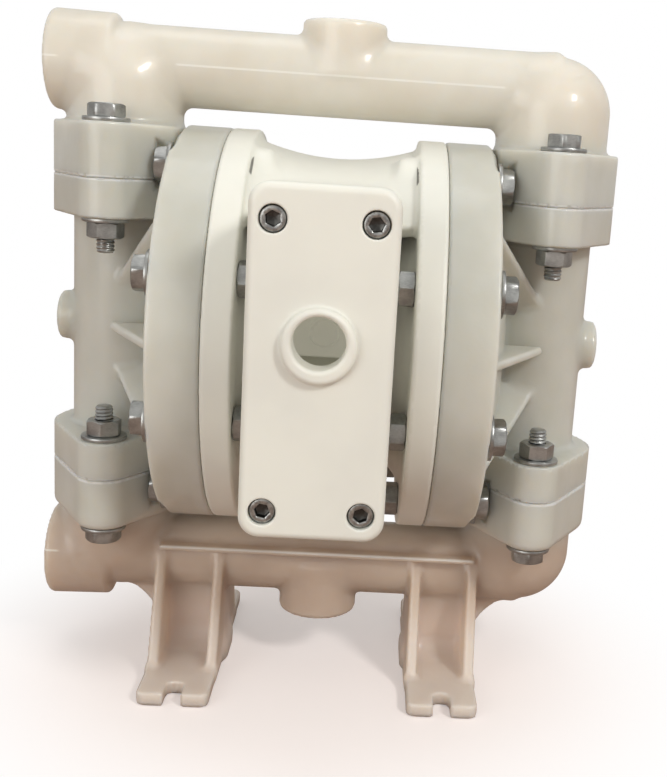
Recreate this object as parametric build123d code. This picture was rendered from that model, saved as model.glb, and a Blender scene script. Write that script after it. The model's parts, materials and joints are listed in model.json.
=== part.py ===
from build123d import *
import math
import os

# Air operated double diaphragm pump, all sizes in millimetres.
# X runs along the shaft to the right, Y to the back and Z up.
# The origin is on the floor, under the middle of the shaft.

# Overall layout
pipe_height = 40.0            # lower manifold pipe line above the floor
column_offset = 77.5          # middle of a flow column from the middle of the pump
joint_inset = 19.5            # chamber to manifold joint plane inside the rim
joint_to_pipe = 39.5          # from that joint plane to the manifold pipe line

# Clearances
running_gap = 0.05            # radial, between a sliding piece and its bore
hole_gap = 0.3                # radial, round a bolt in its hole
seat_gap = 0.05               # between a loose piece and what it rests on
body_gap = 1.0                # between neighbouring castings that don't touch

# Clamped rims of the air and liquid chambers
rim_radius = 72.0
ring_inner_face = 28.5        # inner face of the air chamber ring, from the middle
ring_thickness = 10.0
liquid_rim_thickness = 17.5
rim_draft = 1.2               # the liquid rim narrows by this much at its outer edge
bolt_edge_distance = 9.4      # bolt circle inside the rim
chamber_bolt_count = 8

# Hardware, quarter inch class
bolt_radius = 3.175
hex_across_flats = 11.1
washer_radius = 7.95
washer_thickness = 1.5
head_height = 4.5
nut_height = 5.5
manifold_thread_stub = 5.0
chamber_thread_stub = 3.0
nut_pocket_gap = 0.9
head_pocket_gap = 0.6         # round a washer, where a flange passes a bolt head

# Centre block
hub_inset = 10.0              # hub inside the diaphragm clamp line
dish_wall = 5.0
air_chamber_floor = 22.0      # from the middle
roof_inset = 7.8              # waist of the roof inside the rim
roof_rise = 5.0               # how much the roof climbs to the rings
roof_wall = 6.0
roof_half_angle = 50.0        # either side of the top
neck_half_width = 19.5
neck_half_height = 50.5
neck_flange_depth = 9.0
neck_flange_inset = 1.0       # neck flange outline inside the plate outline
pocket_half_width = 13.5
pocket_half_height = 30.0
pocket_depth = 26.0
pocket_boss_radius = 4.0
pocket_boss_height = 2.0

# Exhaust plate on the front
plate_reach = 23.0            # its face in front of the rim
plate_thickness = 8.0
plate_half_width = 22.3
plate_half_height = 53.7
plate_rise = 3.3              # middle of the plate above the shaft line
plate_corner_radius = 6.5
plate_edge_radius = 2.2
plate_screw_x = 15.0
plate_screw_z = 44.1
plate_screw_rise = -1.1       # screw pattern middle, from the plate middle
plate_screw_radius = 2.5
plate_screw_head_radius = 4.25
plate_screw_head_height = 5.0
plate_screw_length = 22.0
counterbore_radius = 4.9
counterbore_depth = 5.2
hex_socket_flats = 4.0
hex_socket_depth = 2.5
exhaust_port_rise = 7.7       # port above the plate middle
exhaust_port_radius = 8.0
exhaust_lip_radius = 11.2
exhaust_lip_height = 3.0
gasket_thickness = 1.5

# Diaphragms, pistons and shaft
shaft_radius = 7.0
shaft_stroke = 8.0            # each way from the middle
shaft_thread_radius = 5.0
shaft_seal_radius = 10.0
shaft_seal_width = 4.0
shaft_seal_offset = 14.0
diaphragm_edge_gap = 1.125    # between its edge and the bolt holes
diaphragm_thickness = 3.0
diaphragm_clamp_width = 6.0
diaphragm_roll_rise = 3.5
inner_piston_radius = 29.0
inner_piston_thickness = 6.0
outer_piston_radius = 27.0
outer_piston_thickness = 7.5
diaphragm_flat_margin = 1.0   # flat ring outside the inner piston
liquid_cavity_floor = 58.0
liquid_wall = 5.0
dome_inset = 15.0             # rounded top of the liquid dome inside the clamp line

# Pilot valve, above the shaft
pilot_rise = 21.0
pilot_travel = 3.5
pilot_sleeve_radius = 7.0
pilot_spool_radius = 4.0
pilot_pin_radius = 2.5
pilot_contact_gap = 0.3       # left between pin and piston at the end of the stroke
pilot_oring_depth = 1.2
pilot_oring_width = 2.0
pilot_oring_offset = 10.0

# Air valve on the back
valve_pad_inset = 12.0        # back of its pad inside the rim
valve_pad_half_width = 22.0
valve_pad_margin = 5.0        # pad above its screws
valve_half_width = 22.5
valve_edge_distance = 8.0     # end of the block above its screws
valve_depth = 30.0
valve_corner_radius = 5.0
valve_bore_radius = 9.0
valve_spool_half_length = 26.0
valve_spool_travel = 10.0
valve_spool_waist = 5.5
valve_ring_depth = 1.5
valve_ring_width = 2.4
valve_land_gap = 0.2          # radial, between a land and the bore
valve_cap_radius = 12.0
valve_cap_depth = 8.0
valve_cap_flats = 22.0
valve_cap_lip = 5.0
valve_screw_x = 16.0
valve_screw_margin = 1.735    # screw line above the nut pockets beside it
valve_screw_length = 46.0
air_port_radius = 5.7
air_port_depth = 9.0
air_passage_radius = 3.5      # from the port to the spool
air_boss_radius = 10.5
air_boss_height = 4.0

# Flow columns and manifolds
column_radius = 18.0
flow_radius = 9.0
chamber_flange_height = 13.5
manifold_flange_height = 18.5
flange_bolt_y = 30.3
flange_waist_radius = 25.0
flange_boss_radius = 13.6
nub_radius = 9.0
nub_end = 100.3
rib_thickness = 3.0
rib_edge_distance = 10.0      # outer end of a rib inside the rim
rib_inner_radius = 22.0
leg_radius = 20.5
pipe_radius = 14.0
socket_radius = 17.0
socket_end = 103.0
socket_shoulder = 80.0
socket_taper = 3.5
port_radius = 9.3
port_depth = 18.0
boss_radius = 15.0
boss_reach = 19.4

# Ball valves
ball_radius = 11.0
ball_cage_radius = 13.4
ball_lift = 5.5
ball_stop_gap = 0.2
seat_radius = 15.5
seat_height = 6.0
seat_bore_radius = 8.4
seat_oring_radius = 12.0      # to the middle of its section
seat_oring_section = 1.3      # radius of the section
oring_squeeze_room = 0.15     # from an O-ring's section to its groove

# Feet
foot_offset = 48.6
foot_half_width = 12.9
foot_half_length = 49.6
foot_thickness = 5.0
foot_corner_radius = 3.0
notch_half_width = 3.2
notch_depth = 10.0
leg_base_half_depth = 29.5
leg_top_half_depth = 13.0
leg_side_wall = 4.0
leg_web_half_depth = 6.0
ledge_height = 9.0            # above the lower pipe line
ledge_thickness = 3.0
ledge_reach = 18.0
ledge_half_length = 60.0
gusset_thickness = 6.0
gusset_reach = 24.0
gusset_curve_reach = 8.6      # where the curved edge passes, out from its lower end
gusset_curve_rise = 14.7

# Worked out from the sizes above
joint_offset = rim_radius - joint_inset
manifold_offset = joint_offset + joint_to_pipe
shaft_height = pipe_height + manifold_offset
diaphragm_plane = ring_inner_face + ring_thickness
liquid_rim_face = diaphragm_plane + liquid_rim_thickness
hole_radius = bolt_radius + hole_gap
hex_corner_radius = hex_across_flats / math.sqrt(3)
bolt_circle_radius = rim_radius - bolt_edge_distance
diaphragm_radius = bolt_circle_radius - hole_radius - diaphragm_edge_gap
diaphragm_clamp_radius = diaphragm_radius - diaphragm_clamp_width
hub_radius = diaphragm_clamp_radius - hub_inset
rib_outer_radius = rim_radius - rib_edge_distance
roof_top = rim_radius - roof_inset
plate_front = rim_radius + plate_reach
valve_pad_back = rim_radius - valve_pad_inset
first_bolt_rise = bolt_circle_radius * math.sin(math.pi / chamber_bolt_count)
valve_screw_z = first_bolt_rise + hex_corner_radius + nut_pocket_gap + valve_screw_margin
valve_pad_half_height = valve_screw_z + valve_pad_margin
valve_half_height = valve_screw_z + valve_edge_distance
valve_bore_half_length = valve_half_height - valve_cap_depth
head_end = liquid_rim_face + washer_thickness + head_height
upper_pipe = shaft_height + manifold_offset
lower_pipe = shaft_height - manifold_offset
upper_joint = shaft_height + joint_offset
lower_joint = shaft_height - joint_offset
inner_piston_back = diaphragm_plane - diaphragm_thickness / 2 - inner_piston_thickness
outer_piston_face = diaphragm_plane + diaphragm_thickness / 2 + outer_piston_thickness
ball_seat_drop = math.sqrt(ball_radius ** 2 - seat_bore_radius ** 2)
ball_rest = seat_height + ball_seat_drop + seat_gap
ball_stop_rise = ball_rest + ball_lift + ball_stop_gap
ball_cage_top = ball_stop_rise + math.sqrt(ball_radius ** 2 - flow_radius ** 2)
plate_middle = shaft_height + plate_rise
plate_back = plate_front - plate_thickness
neck_front = plate_back - gasket_thickness
valve_front = valve_pad_back + gasket_thickness
valve_back = valve_front + valve_depth
valve_bore_y = valve_front + valve_depth / 2
shaft_line = Axis((0, 0, shaft_height), (1, 0, 0))


def rod(start, end, radius):
    """A round bar from one point to another."""
    path = Vector(*end) - Vector(*start)
    return extrude(Plane(origin=start, z_dir=path) * Circle(radius), path.length)


def block(x_range, y_range, z_range):
    """A square-cornered block between two limits on each axis."""
    size = [high - low for low, high in (x_range, y_range, z_range)]
    middle = [(high + low) / 2 for low, high in (x_range, y_range, z_range)]
    return Pos(*middle) * Box(*size)


def turned(outline):
    """A solid turned about the shaft line from corners given as (x, radius)."""
    corners = [(x, 0, shaft_height + radius) for x, radius in outline]
    return revolve(make_face(Polyline(*corners, close=True)), axis=shaft_line)


def turned_upright(outline, x):
    """A solid turned about an upright line at x from corners given as (radius, z)."""
    corners = [(x + radius, 0, z) for radius, z in outline]
    return revolve(make_face(Polyline(*corners, close=True)), axis=Axis((x, 0, 0), (0, 0, 1)))


def upright_plate(half_width, half_height, middle, y_front, depth, corner_radius):
    """A plate facing the front with rounded corners, from y_front back by depth."""
    plane = Plane(origin=(0, y_front, middle), x_dir=(1, 0, 0), z_dir=(0, 1, 0))
    outline = RectangleRounded(2 * half_width, 2 * half_height, corner_radius)
    return extrude(plane * outline, depth)


def hexagon_bar(start, end, across_flats):
    """A hexagon bar from one point to another."""
    path = Vector(*end) - Vector(*start)
    outline = RegularPolygon(across_flats / 2, 6, major_radius=False)
    return extrude(Plane(origin=start, z_dir=path) * outline, path.length)


def ring_x(x, z, outer_radius, inner_radius, width):
    """A square-section ring round a line along X, with its middle at x."""
    start = (x - width / 2, 0, z)
    end = (x + width / 2, 0, z)
    return rod(start, end, outer_radius) - rod(start, end, inner_radius)


def left_and_right(name, solid):
    """Names a right-hand piece and its mirror image."""
    return {f"left_{name}": mirror(solid, about=Plane.YZ), f"right_{name}": solid}


def chamber_bolt_places():
    """Points (y, z) of the bolts round a chamber rim, half a step off the level."""
    step = 2 * math.pi / chamber_bolt_count
    places = []
    for index in range(chamber_bolt_count):
        angle = (index + 0.5) * step
        y = bolt_circle_radius * math.cos(angle)
        z = shaft_height + bolt_circle_radius * math.sin(angle)
        places.append((y, z))
    return places


def chamber_bolt_holes(x_range, radius):
    """The bars that bore one rim's bolt holes."""
    return [rod((x_range[0], y, z), (x_range[1], y, z), radius) for y, z in chamber_bolt_places()]


def nut_pockets():
    """Room for the nuts and bolt ends behind both rings."""
    end = ring_inner_face - nut_height - chamber_thread_stub - nut_pocket_gap
    radius = hex_corner_radius + nut_pocket_gap
    pockets = []
    for side in (-1, 1):
        pockets += chamber_bolt_holes((side * end, side * ring_inner_face), radius)
    return pockets


def head_pockets():
    """Room for the right chamber's bolt heads in the flanges that stand beside them."""
    end = head_end + head_pocket_gap
    return chamber_bolt_holes((liquid_rim_face, end), washer_radius + head_pocket_gap)


# Centre block

def roof():
    """The saddle that joins the two rings over the top, hollow in its waist."""
    rise = shaft_height + roof_top
    waist = ThreePointArc(
        (-ring_inner_face, 0, rise + roof_rise),
        (0, 0, rise),
        (ring_inner_face, 0, rise + roof_rise),
    )
    under = ThreePointArc(
        (ring_inner_face, 0, rise + roof_rise - roof_wall),
        (0, 0, rise - roof_wall),
        (-ring_inner_face, 0, rise + roof_rise - roof_wall),
    )
    sides = [Line(waist @ 1, under @ 0), Line(under @ 1, waist @ 0)]
    section = make_face([waist, sides[0], under, sides[1]])
    section = section.rotate(shaft_line, -roof_half_angle)
    return revolve(section, axis=shaft_line, revolution_arc=2 * roof_half_angle)


def exhaust_neck():
    """The box that carries the exhaust plate, with its flange."""
    stem_depth = neck_front - hub_radius / 2
    corner = plate_corner_radius / 2
    stem = upright_plate(
        neck_half_width, neck_half_height, plate_middle, -neck_front, stem_depth, corner
    )
    flange = upright_plate(
        plate_half_width - neck_flange_inset,
        plate_half_height - neck_flange_inset,
        plate_middle,
        -neck_front,
        neck_flange_depth,
        plate_corner_radius,
    )
    return stem + flange


def exhaust_pocket():
    """The hollow behind the exhaust port, with a round boss on its end wall."""
    corner = plate_corner_radius / 2
    hollow = upright_plate(
        pocket_half_width, pocket_half_height, plate_middle, -neck_front, pocket_depth, corner
    )
    end = pocket_depth - neck_front
    height = plate_middle + exhaust_port_rise
    boss = rod((0, end, height), (0, end - pocket_boss_height, height), pocket_boss_radius)
    return hollow - boss


def plate_screw_places():
    """Points (x, z) of the exhaust plate screws."""
    middle = plate_middle + plate_screw_rise
    corners = [(side, level) for side in (-1, 1) for level in (-1, 1)]
    return [(side * plate_screw_x, middle + level * plate_screw_z) for side, level in corners]


def valve_screw_places():
    """Points (x, z) of the air valve screws."""
    corners = [(side, level) for side in (-1, 1) for level in (-1, 1)]
    return [(side * valve_screw_x, shaft_height + level * valve_screw_z) for side, level in corners]


def centre_block():
    """The white moulding: both air chamber rings and dishes, roof, exhaust neck and valve pad."""
    dish_back = air_chamber_floor - dish_wall
    groove_floor = diaphragm_plane - diaphragm_thickness / 2
    half = turned([
        (0, 0), (0, hub_radius), (dish_back, hub_radius),
        (ring_inner_face, diaphragm_radius - dish_wall / 2),
        (ring_inner_face, rim_radius), (diaphragm_plane, rim_radius), (diaphragm_plane, 0),
    ])
    cavity = turned([
        (diaphragm_plane, 0), (diaphragm_plane, diaphragm_radius), (groove_floor, diaphragm_radius),
        (groove_floor, diaphragm_clamp_radius), (air_chamber_floor, hub_radius - dish_wall),
        (air_chamber_floor, 0),
    ])
    solid = half + mirror(half, about=Plane.YZ) + roof() + exhaust_neck()
    pad_start = hub_radius / 2
    solid += block(
        (-valve_pad_half_width, valve_pad_half_width),
        (pad_start, valve_pad_back),
        (shaft_height - valve_pad_half_height, shaft_height + valve_pad_half_height),
    )
    solid -= [cavity, mirror(cavity, about=Plane.YZ), exhaust_pocket()]
    bores = [(shaft_height, shaft_radius + running_gap), (shaft_height + pilot_rise, pilot_sleeve_radius)]
    for height, radius in bores:
        solid -= rod((-air_chamber_floor, 0, height), (air_chamber_floor, 0, height), radius)
    for x in (-shaft_seal_offset, shaft_seal_offset):
        solid -= ring_x(x, shaft_height, shaft_seal_radius, shaft_radius, shaft_seal_width)
    for side in (-1, 1):
        solid -= chamber_bolt_holes((side * ring_inner_face, side * diaphragm_plane), hole_radius)
    solid -= nut_pockets()
    screw_depth = plate_front - counterbore_depth - plate_screw_length - nut_pocket_gap
    for x, z in plate_screw_places():
        solid -= rod((x, -neck_front, z), (x, -screw_depth, z), plate_screw_radius)
    valve_hole_end = valve_back - valve_screw_length - nut_pocket_gap
    for x, z in valve_screw_places():
        solid -= rod((x, valve_hole_end, z), (x, valve_pad_back, z), bolt_radius)
    return solid


# Liquid chambers

def flange_outline():
    """A bolt flange: a round waist with a bolt boss in front and behind."""
    waist = Circle(flange_waist_radius)
    front = Pos(0, -flange_bolt_y) * Circle(flange_boss_radius)
    back = Pos(0, flange_bolt_y) * Circle(flange_boss_radius)
    return make_hull((waist + front + back).edges())


def bolt_flange(z_range):
    """A bolt flange on the right flow column line between two heights."""
    low, high = z_range
    return extrude(Pos(column_offset, 0, low) * flange_outline(), high - low)


def chamber_ribs():
    """Six thin ribs from the rim to the flow column."""
    ribs = []
    outline = [
        (diaphragm_plane + liquid_rim_thickness / 2, rib_outer_radius),
        (liquid_rim_face, rib_outer_radius),
        (column_offset, rib_inner_radius),
        (column_offset, 0),
        (liquid_cavity_floor, 0),
    ]
    corners = [(x, 0, shaft_height + radius) for x, radius in outline]
    plate = extrude(make_face(Polyline(*corners, close=True)), rib_thickness / 2, both=True)
    step = 360 / chamber_bolt_count
    for index in (1, 2, 3, 5, 6, 7):
        ribs.append(plate.rotate(shaft_line, index * step))
    return ribs


def liquid_chamber():
    """The right liquid chamber with its flow column, flanges and ribs."""
    dome = liquid_cavity_floor + liquid_wall
    groove_floor = diaphragm_plane + diaphragm_thickness / 2
    solid = turned([
        (diaphragm_plane, 0), (diaphragm_plane, rim_radius), (liquid_rim_face - rim_draft, rim_radius),
        (liquid_rim_face, rim_radius - rim_draft), (liquid_rim_face, diaphragm_radius - liquid_wall),
        (dome, diaphragm_clamp_radius - dome_inset), (dome, 0),
    ])
    top = upper_joint
    bottom = lower_joint
    solid += rod((column_offset, 0, bottom), (column_offset, 0, top), column_radius)
    solid += bolt_flange((bottom, bottom + chamber_flange_height))
    solid += bolt_flange((top - chamber_flange_height, top))
    solid += rod((column_offset, 0, shaft_height), (nub_end, 0, shaft_height), nub_radius)
    solid += chamber_ribs()
    solid -= turned([
        (diaphragm_plane, 0), (diaphragm_plane, diaphragm_radius), (groove_floor, diaphragm_radius),
        (groove_floor, diaphragm_clamp_radius),
        (liquid_rim_face - liquid_wall, diaphragm_clamp_radius - liquid_wall),
        (liquid_cavity_floor, diaphragm_clamp_radius - dome_inset - liquid_wall),
        (liquid_cavity_floor, 0),
    ])
    solid -= rod((column_offset, 0, bottom), (column_offset, 0, top), flow_radius)
    solid -= rod((column_offset, 0, bottom), (column_offset, 0, bottom + seat_height), seat_radius)
    solid -= rod((column_offset, 0, bottom), (column_offset, 0, bottom + ball_cage_top), ball_cage_radius)
    window = flow_radius
    solid -= block(
        (liquid_cavity_floor - 1, column_offset),
        (-window, window),
        (shaft_height - 2 * window, shaft_height + 2 * window),
    )
    solid -= chamber_bolt_holes((diaphragm_plane, liquid_rim_face), hole_radius)
    solid -= head_pockets()
    flanges = ((bottom, bottom + chamber_flange_height), (top - chamber_flange_height, top))
    for y in (-flange_bolt_y, flange_bolt_y):
        for low, high in flanges:
            solid -= rod((column_offset, y, low), (column_offset, y, high), hole_radius)
    return solid


# Manifolds

def manifold(pipe_line, joint, outward):
    """A cross pipe with two legs that end in bolt flanges, outward from the joint: 1 up, -1 down."""
    crown = pipe_line + outward * (pipe_radius - leg_radius)
    flange_end = joint + outward * manifold_flange_height
    flange_range = (min(joint, flange_end), max(joint, flange_end))
    half = rod((column_offset, 0, joint), (column_offset, 0, crown), leg_radius)
    half += Pos(column_offset, 0, crown) * Sphere(leg_radius)
    half += bolt_flange(flange_range)
    half -= block(
        (0, liquid_rim_face + body_gap),
        (-rim_radius, rim_radius),
        (min(joint, crown), max(joint, crown)),
    )
    half -= head_pockets()
    solid = half + mirror(half, about=Plane.YZ)
    solid += rod((-column_offset, 0, pipe_line), (column_offset, 0, pipe_line), pipe_radius)
    socket = [
        (-socket_end, 0), (-socket_end, socket_radius), (-socket_shoulder, socket_radius),
        (-socket_shoulder + socket_taper, pipe_radius), (-socket_shoulder + socket_taper, 0),
    ]
    solid += Pos(0, 0, pipe_line - shaft_height) * turned(socket)
    solid += rod((0, 0, pipe_line), (0, 0, pipe_line + outward * boss_reach), boss_radius)
    return solid


def manifold_bores(pipe_line, joint):
    """The passages of a manifold: the cross bore, the threaded port and the two legs."""
    bores = [
        rod((-socket_end, 0, pipe_line), (column_offset, 0, pipe_line), flow_radius),
        rod((-socket_end, 0, pipe_line), (port_depth - socket_end, 0, pipe_line), port_radius),
    ]
    for side in (-1, 1):
        x = side * column_offset
        bores.append(rod((x, 0, joint), (x, 0, pipe_line), flow_radius))
    return bores


def flange_bolt_holes(joint, outward):
    """The bolt holes through both manifold flanges."""
    end = joint + outward * manifold_flange_height
    places = [(side * column_offset, y) for side in (-1, 1) for y in (-flange_bolt_y, flange_bolt_y)]
    return [rod((x, y, joint), (x, y, end), hole_radius) for x, y in places]


def discharge_manifold():
    """The top manifold. Its legs hold the outlet seats and ball cages."""
    solid = manifold(upper_pipe, upper_joint, 1)
    solid -= manifold_bores(upper_pipe, upper_joint)
    for side in (-1, 1):
        x = side * column_offset
        solid -= rod((x, 0, upper_joint), (x, 0, upper_joint + seat_height), seat_radius)
        solid -= rod((x, 0, upper_joint), (x, 0, upper_joint + ball_cage_top), ball_cage_radius)
    solid -= flange_bolt_holes(upper_joint, 1)
    return solid


def foot(side):
    """One foot: a notched base plate and a channelled leg up to the lower pipe."""
    x = side * foot_offset
    base = Pos(x, 0, 0) * extrude(
        RectangleRounded(2 * foot_half_width, 2 * foot_half_length, foot_corner_radius), foot_thickness
    )
    leg_top = lower_pipe + ledge_height
    profile = [
        (-leg_base_half_depth, foot_thickness), (-leg_top_half_depth, leg_top),
        (leg_top_half_depth, leg_top), (leg_base_half_depth, foot_thickness),
    ]
    corners = [(x - foot_half_width, y, z) for y, z in profile]
    solid = base + extrude(make_face(Polyline(*corners, close=True)), 2 * foot_half_width, dir=(1, 0, 0))
    channel = foot_half_width - leg_side_wall
    for way in (-1, 1):
        inner = way * leg_web_half_depth
        outer = way * foot_half_length
        solid -= block((x - channel, x + channel), sorted((inner, outer)), (foot_thickness, leg_top))
        notch_end = way * (foot_half_length - notch_depth + notch_half_width)
        solid -= block(
            (x - notch_half_width, x + notch_half_width), sorted((notch_end, outer)), (0, foot_thickness)
        )
        solid -= rod((x, notch_end, 0), (x, notch_end, foot_thickness), notch_half_width)
    return solid


def gusset(side):
    """The curved web from the outside of a foot up to the elbow above it."""
    inner = foot_offset + foot_half_width - leg_side_wall
    outer = inner + gusset_reach
    base = foot_thickness
    top = lower_pipe
    under_pipe = lower_pipe - pipe_radius
    curve = ThreePointArc(
        (inner + leg_side_wall, 0, base),
        (inner + gusset_curve_reach, 0, base + gusset_curve_rise),
        (outer, 0, under_pipe),
    )
    lines = Polyline((outer, 0, under_pipe), (outer, 0, top), (inner, 0, top), (inner, 0, base), curve @ 0)
    plate = extrude(make_face([curve] + lines.edges()), gusset_thickness / 2, both=True)
    return plate if side > 0 else mirror(plate, about=Plane.YZ)


def inlet_manifold():
    """The bottom manifold with its feet, front and back ledges and gussets."""
    solid = manifold(lower_pipe, lower_joint, -1)
    ledge = lower_pipe + ledge_height
    solid += block(
        (-ledge_half_length, ledge_half_length),
        (-ledge_reach, ledge_reach),
        (ledge - ledge_thickness, ledge),
    )
    for side in (-1, 1):
        solid += foot(side) + gusset(side)
    solid -= manifold_bores(lower_pipe, lower_joint)
    solid -= flange_bolt_holes(lower_joint, -1)
    return solid


# Exhaust plate

def exhaust_plate():
    """The front plate with its port ring and counterbored screw holes."""
    solid = upright_plate(
        plate_half_width, plate_half_height, plate_middle, -plate_front, plate_thickness, plate_corner_radius
    )
    front_edges = solid.faces().sort_by(Axis.Y)[0].edges()
    solid = fillet(front_edges, plate_edge_radius)
    height = plate_middle + exhaust_port_rise
    lip = rod((0, -plate_front - exhaust_lip_height, height), (0, -plate_front, height), exhaust_lip_radius)
    lip = fillet(lip.faces().sort_by(Axis.Y)[0].edges(), exhaust_lip_height / 2)
    solid += lip
    solid -= rod((0, -plate_front - exhaust_lip_height, height), (0, -plate_back, height), exhaust_port_radius)
    for x, z in plate_screw_places():
        solid -= rod((x, -plate_front, z), (x, -plate_front + counterbore_depth, z), counterbore_radius)
        solid -= rod((x, -plate_front, z), (x, -plate_back, z), plate_screw_radius + hole_gap)
    return solid


def exhaust_gasket():
    """The flat gasket between the plate and the neck."""
    inset = neck_flange_inset
    corner = plate_corner_radius
    solid = upright_plate(
        plate_half_width - inset, plate_half_height - inset, plate_middle, -plate_back, gasket_thickness, corner
    )
    solid -= upright_plate(
        pocket_half_width, pocket_half_height, plate_middle, -plate_back, gasket_thickness, corner / 2
    )
    for x, z in plate_screw_places():
        solid -= rod((x, -plate_back, z), (x, -neck_front, z), plate_screw_radius + hole_gap)
    return solid


def plate_screws():
    """Four socket head cap screws in the plate's counterbores."""
    screws = []
    seat = -plate_front + counterbore_depth
    for x, z in plate_screw_places():
        head = rod((x, seat - plate_screw_head_height, z), (x, seat, z), plate_screw_head_radius)
        socket_end = seat - plate_screw_head_height + hex_socket_depth
        head -= hexagon_bar((x, seat - plate_screw_head_height, z), (x, socket_end, z), hex_socket_flats)
        screws.append(head + rod((x, seat, z), (x, seat + plate_screw_length, z), plate_screw_radius))
    return screws


# Air valve

def air_valve_body():
    """The valve block on the back with the upright spool bore and the air inlet boss."""
    solid = upright_plate(
        valve_half_width, valve_half_height, shaft_height, valve_front, valve_depth, valve_corner_radius
    )
    solid += rod((0, valve_back, shaft_height), (0, valve_back + air_boss_height, shaft_height), air_boss_radius)
    low = shaft_height - valve_half_height
    high = shaft_height + valve_half_height
    y = valve_bore_y
    solid -= rod((0, y, low), (0, y, high), valve_bore_radius)
    solid -= rod((0, y, low), (0, y, low + valve_cap_depth), valve_cap_radius)
    solid -= rod((0, y, high - valve_cap_depth), (0, y, high), valve_cap_radius)
    mouth = valve_back + air_boss_height
    solid -= rod((0, y, shaft_height), (0, mouth, shaft_height), air_passage_radius)
    solid -= rod((0, mouth - air_port_depth, shaft_height), (0, mouth, shaft_height), air_port_radius)
    for x, z in valve_screw_places():
        solid -= rod((x, valve_front, z), (x, valve_back, z), hole_radius)
    return solid


def valve_cap(outward):
    """The screwed plug that closes one end of the spool bore, with a hexagon head."""
    y = valve_bore_y
    low = shaft_height + outward * valve_bore_half_length
    high = shaft_height + outward * valve_half_height
    plug = rod((0, y, low), (0, y, high), valve_cap_radius)
    return plug + hexagon_bar((0, y, high), (0, y, high + outward * valve_cap_lip), valve_cap_flats)


def air_valve_gasket():
    """The flat gasket between the valve block and its pad."""
    solid = upright_plate(
        valve_pad_half_width,
        valve_pad_half_height,
        shaft_height,
        valve_pad_back,
        gasket_thickness,
        valve_corner_radius,
    )
    for x, z in valve_screw_places():
        solid -= rod((x, valve_pad_back, z), (x, valve_front, z), hole_radius)
    return solid - nut_pockets()


def spool_land_starts():
    """Lower ends of the spool's three lands, and the length of a land."""
    bottom = shaft_height - valve_bore_half_length + seat_gap
    length = 2 * valve_spool_half_length
    land = length / 6
    return [bottom + index * (length - land) / 2 for index in (0, 1, 2)], land


def air_valve_spool():
    """The main spool at the bottom of its travel: three grooved lands on a thinner stem."""
    starts, land = spool_land_starts()
    y = valve_bore_y
    solid = rod((0, y, starts[0]), (0, y, starts[0] + 2 * valve_spool_half_length), valve_spool_waist)
    for start in starts:
        solid += rod((0, y, start), (0, y, start + land), valve_bore_radius - valve_land_gap)
    return solid - spool_rings()


def spool_rings():
    """The sealing ring in the middle of each land."""
    starts, land = spool_land_starts()
    rings = []
    for start in starts:
        low = (0, valve_bore_y, start + (land - valve_ring_width) / 2)
        high = (0, valve_bore_y, start + (land + valve_ring_width) / 2)
        ring = rod(low, high, valve_bore_radius - running_gap)
        rings.append(ring - rod(low, high, valve_bore_radius - valve_land_gap - valve_ring_depth))
    return rings


def valve_screws():
    """Four hexagon screws that hold the valve block to its pad."""
    screws = []
    for x, z in valve_screw_places():
        head = hexagon_bar((x, valve_back, z), (x, valve_back + head_height, z), hex_across_flats)
        screws.append(head + rod((x, valve_back, z), (x, valve_back - valve_screw_length, z), bolt_radius))
    return screws


# Pilot valve

def pilot_sleeve():
    """The fixed sleeve that guides the pilot spool."""
    z = shaft_height + pilot_rise
    solid = rod((-air_chamber_floor, 0, z), (air_chamber_floor, 0, z), pilot_sleeve_radius)
    solid -= rod((-air_chamber_floor, 0, z), (air_chamber_floor, 0, z), pilot_spool_radius + running_gap)
    return solid - pilot_orings()


def pilot_orings():
    """The rings that seal the sleeve in its bore."""
    z = shaft_height + pilot_rise
    inner = pilot_sleeve_radius - pilot_oring_depth
    offsets = (-pilot_oring_offset, 0, pilot_oring_offset)
    return [ring_x(x, z, pilot_sleeve_radius, inner, pilot_oring_width) for x in offsets]


def pilot_spool():
    """The pilot spool with a thinner pin at each end that the pistons push."""
    z = shaft_height + pilot_rise
    reach = inner_piston_back - shaft_stroke + pilot_travel - pilot_contact_gap
    body = air_chamber_floor - pilot_travel
    pins = rod((-reach, 0, z), (reach, 0, z), pilot_pin_radius)
    return pins + rod((-body, 0, z), (body, 0, z), pilot_spool_radius)


# Shaft and diaphragms

def shaft():
    """The shaft, with a thinner threaded end through each diaphragm."""
    shoulder = inner_piston_back
    end = outer_piston_face - outer_piston_thickness / 3
    z = shaft_height
    threads = rod((-end, 0, z), (end, 0, z), shaft_thread_radius)
    return threads + rod((-shoulder, 0, z), (shoulder, 0, z), shaft_radius)


def inner_piston():
    """The clamp disc on the air side of the right diaphragm."""
    face = diaphragm_plane - diaphragm_thickness / 2
    return turned([
        (inner_piston_back, shaft_thread_radius),
        (inner_piston_back, inner_piston_radius - inner_piston_thickness),
        (face - inner_piston_thickness / 3, inner_piston_radius), (face, inner_piston_radius),
        (face, shaft_thread_radius),
    ])


def outer_piston():
    """The clamp disc on the liquid side, closed over the end of the shaft."""
    face = diaphragm_plane + diaphragm_thickness / 2
    blind = outer_piston_face - outer_piston_thickness / 3
    return turned([
        (face, shaft_thread_radius), (face, outer_piston_radius),
        (face + outer_piston_thickness / 3, outer_piston_radius),
        (outer_piston_face, outer_piston_radius / 2), (outer_piston_face, 0), (blind, 0),
        (blind, shaft_thread_radius),
    ])


def shaft_seals():
    """The two lip rings that seal the shaft in the centre block."""
    bore = shaft_radius + running_gap
    offsets = (-shaft_seal_offset, shaft_seal_offset)
    return [ring_x(x, shaft_height, shaft_seal_radius, bore, shaft_seal_width) for x in offsets]


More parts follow.
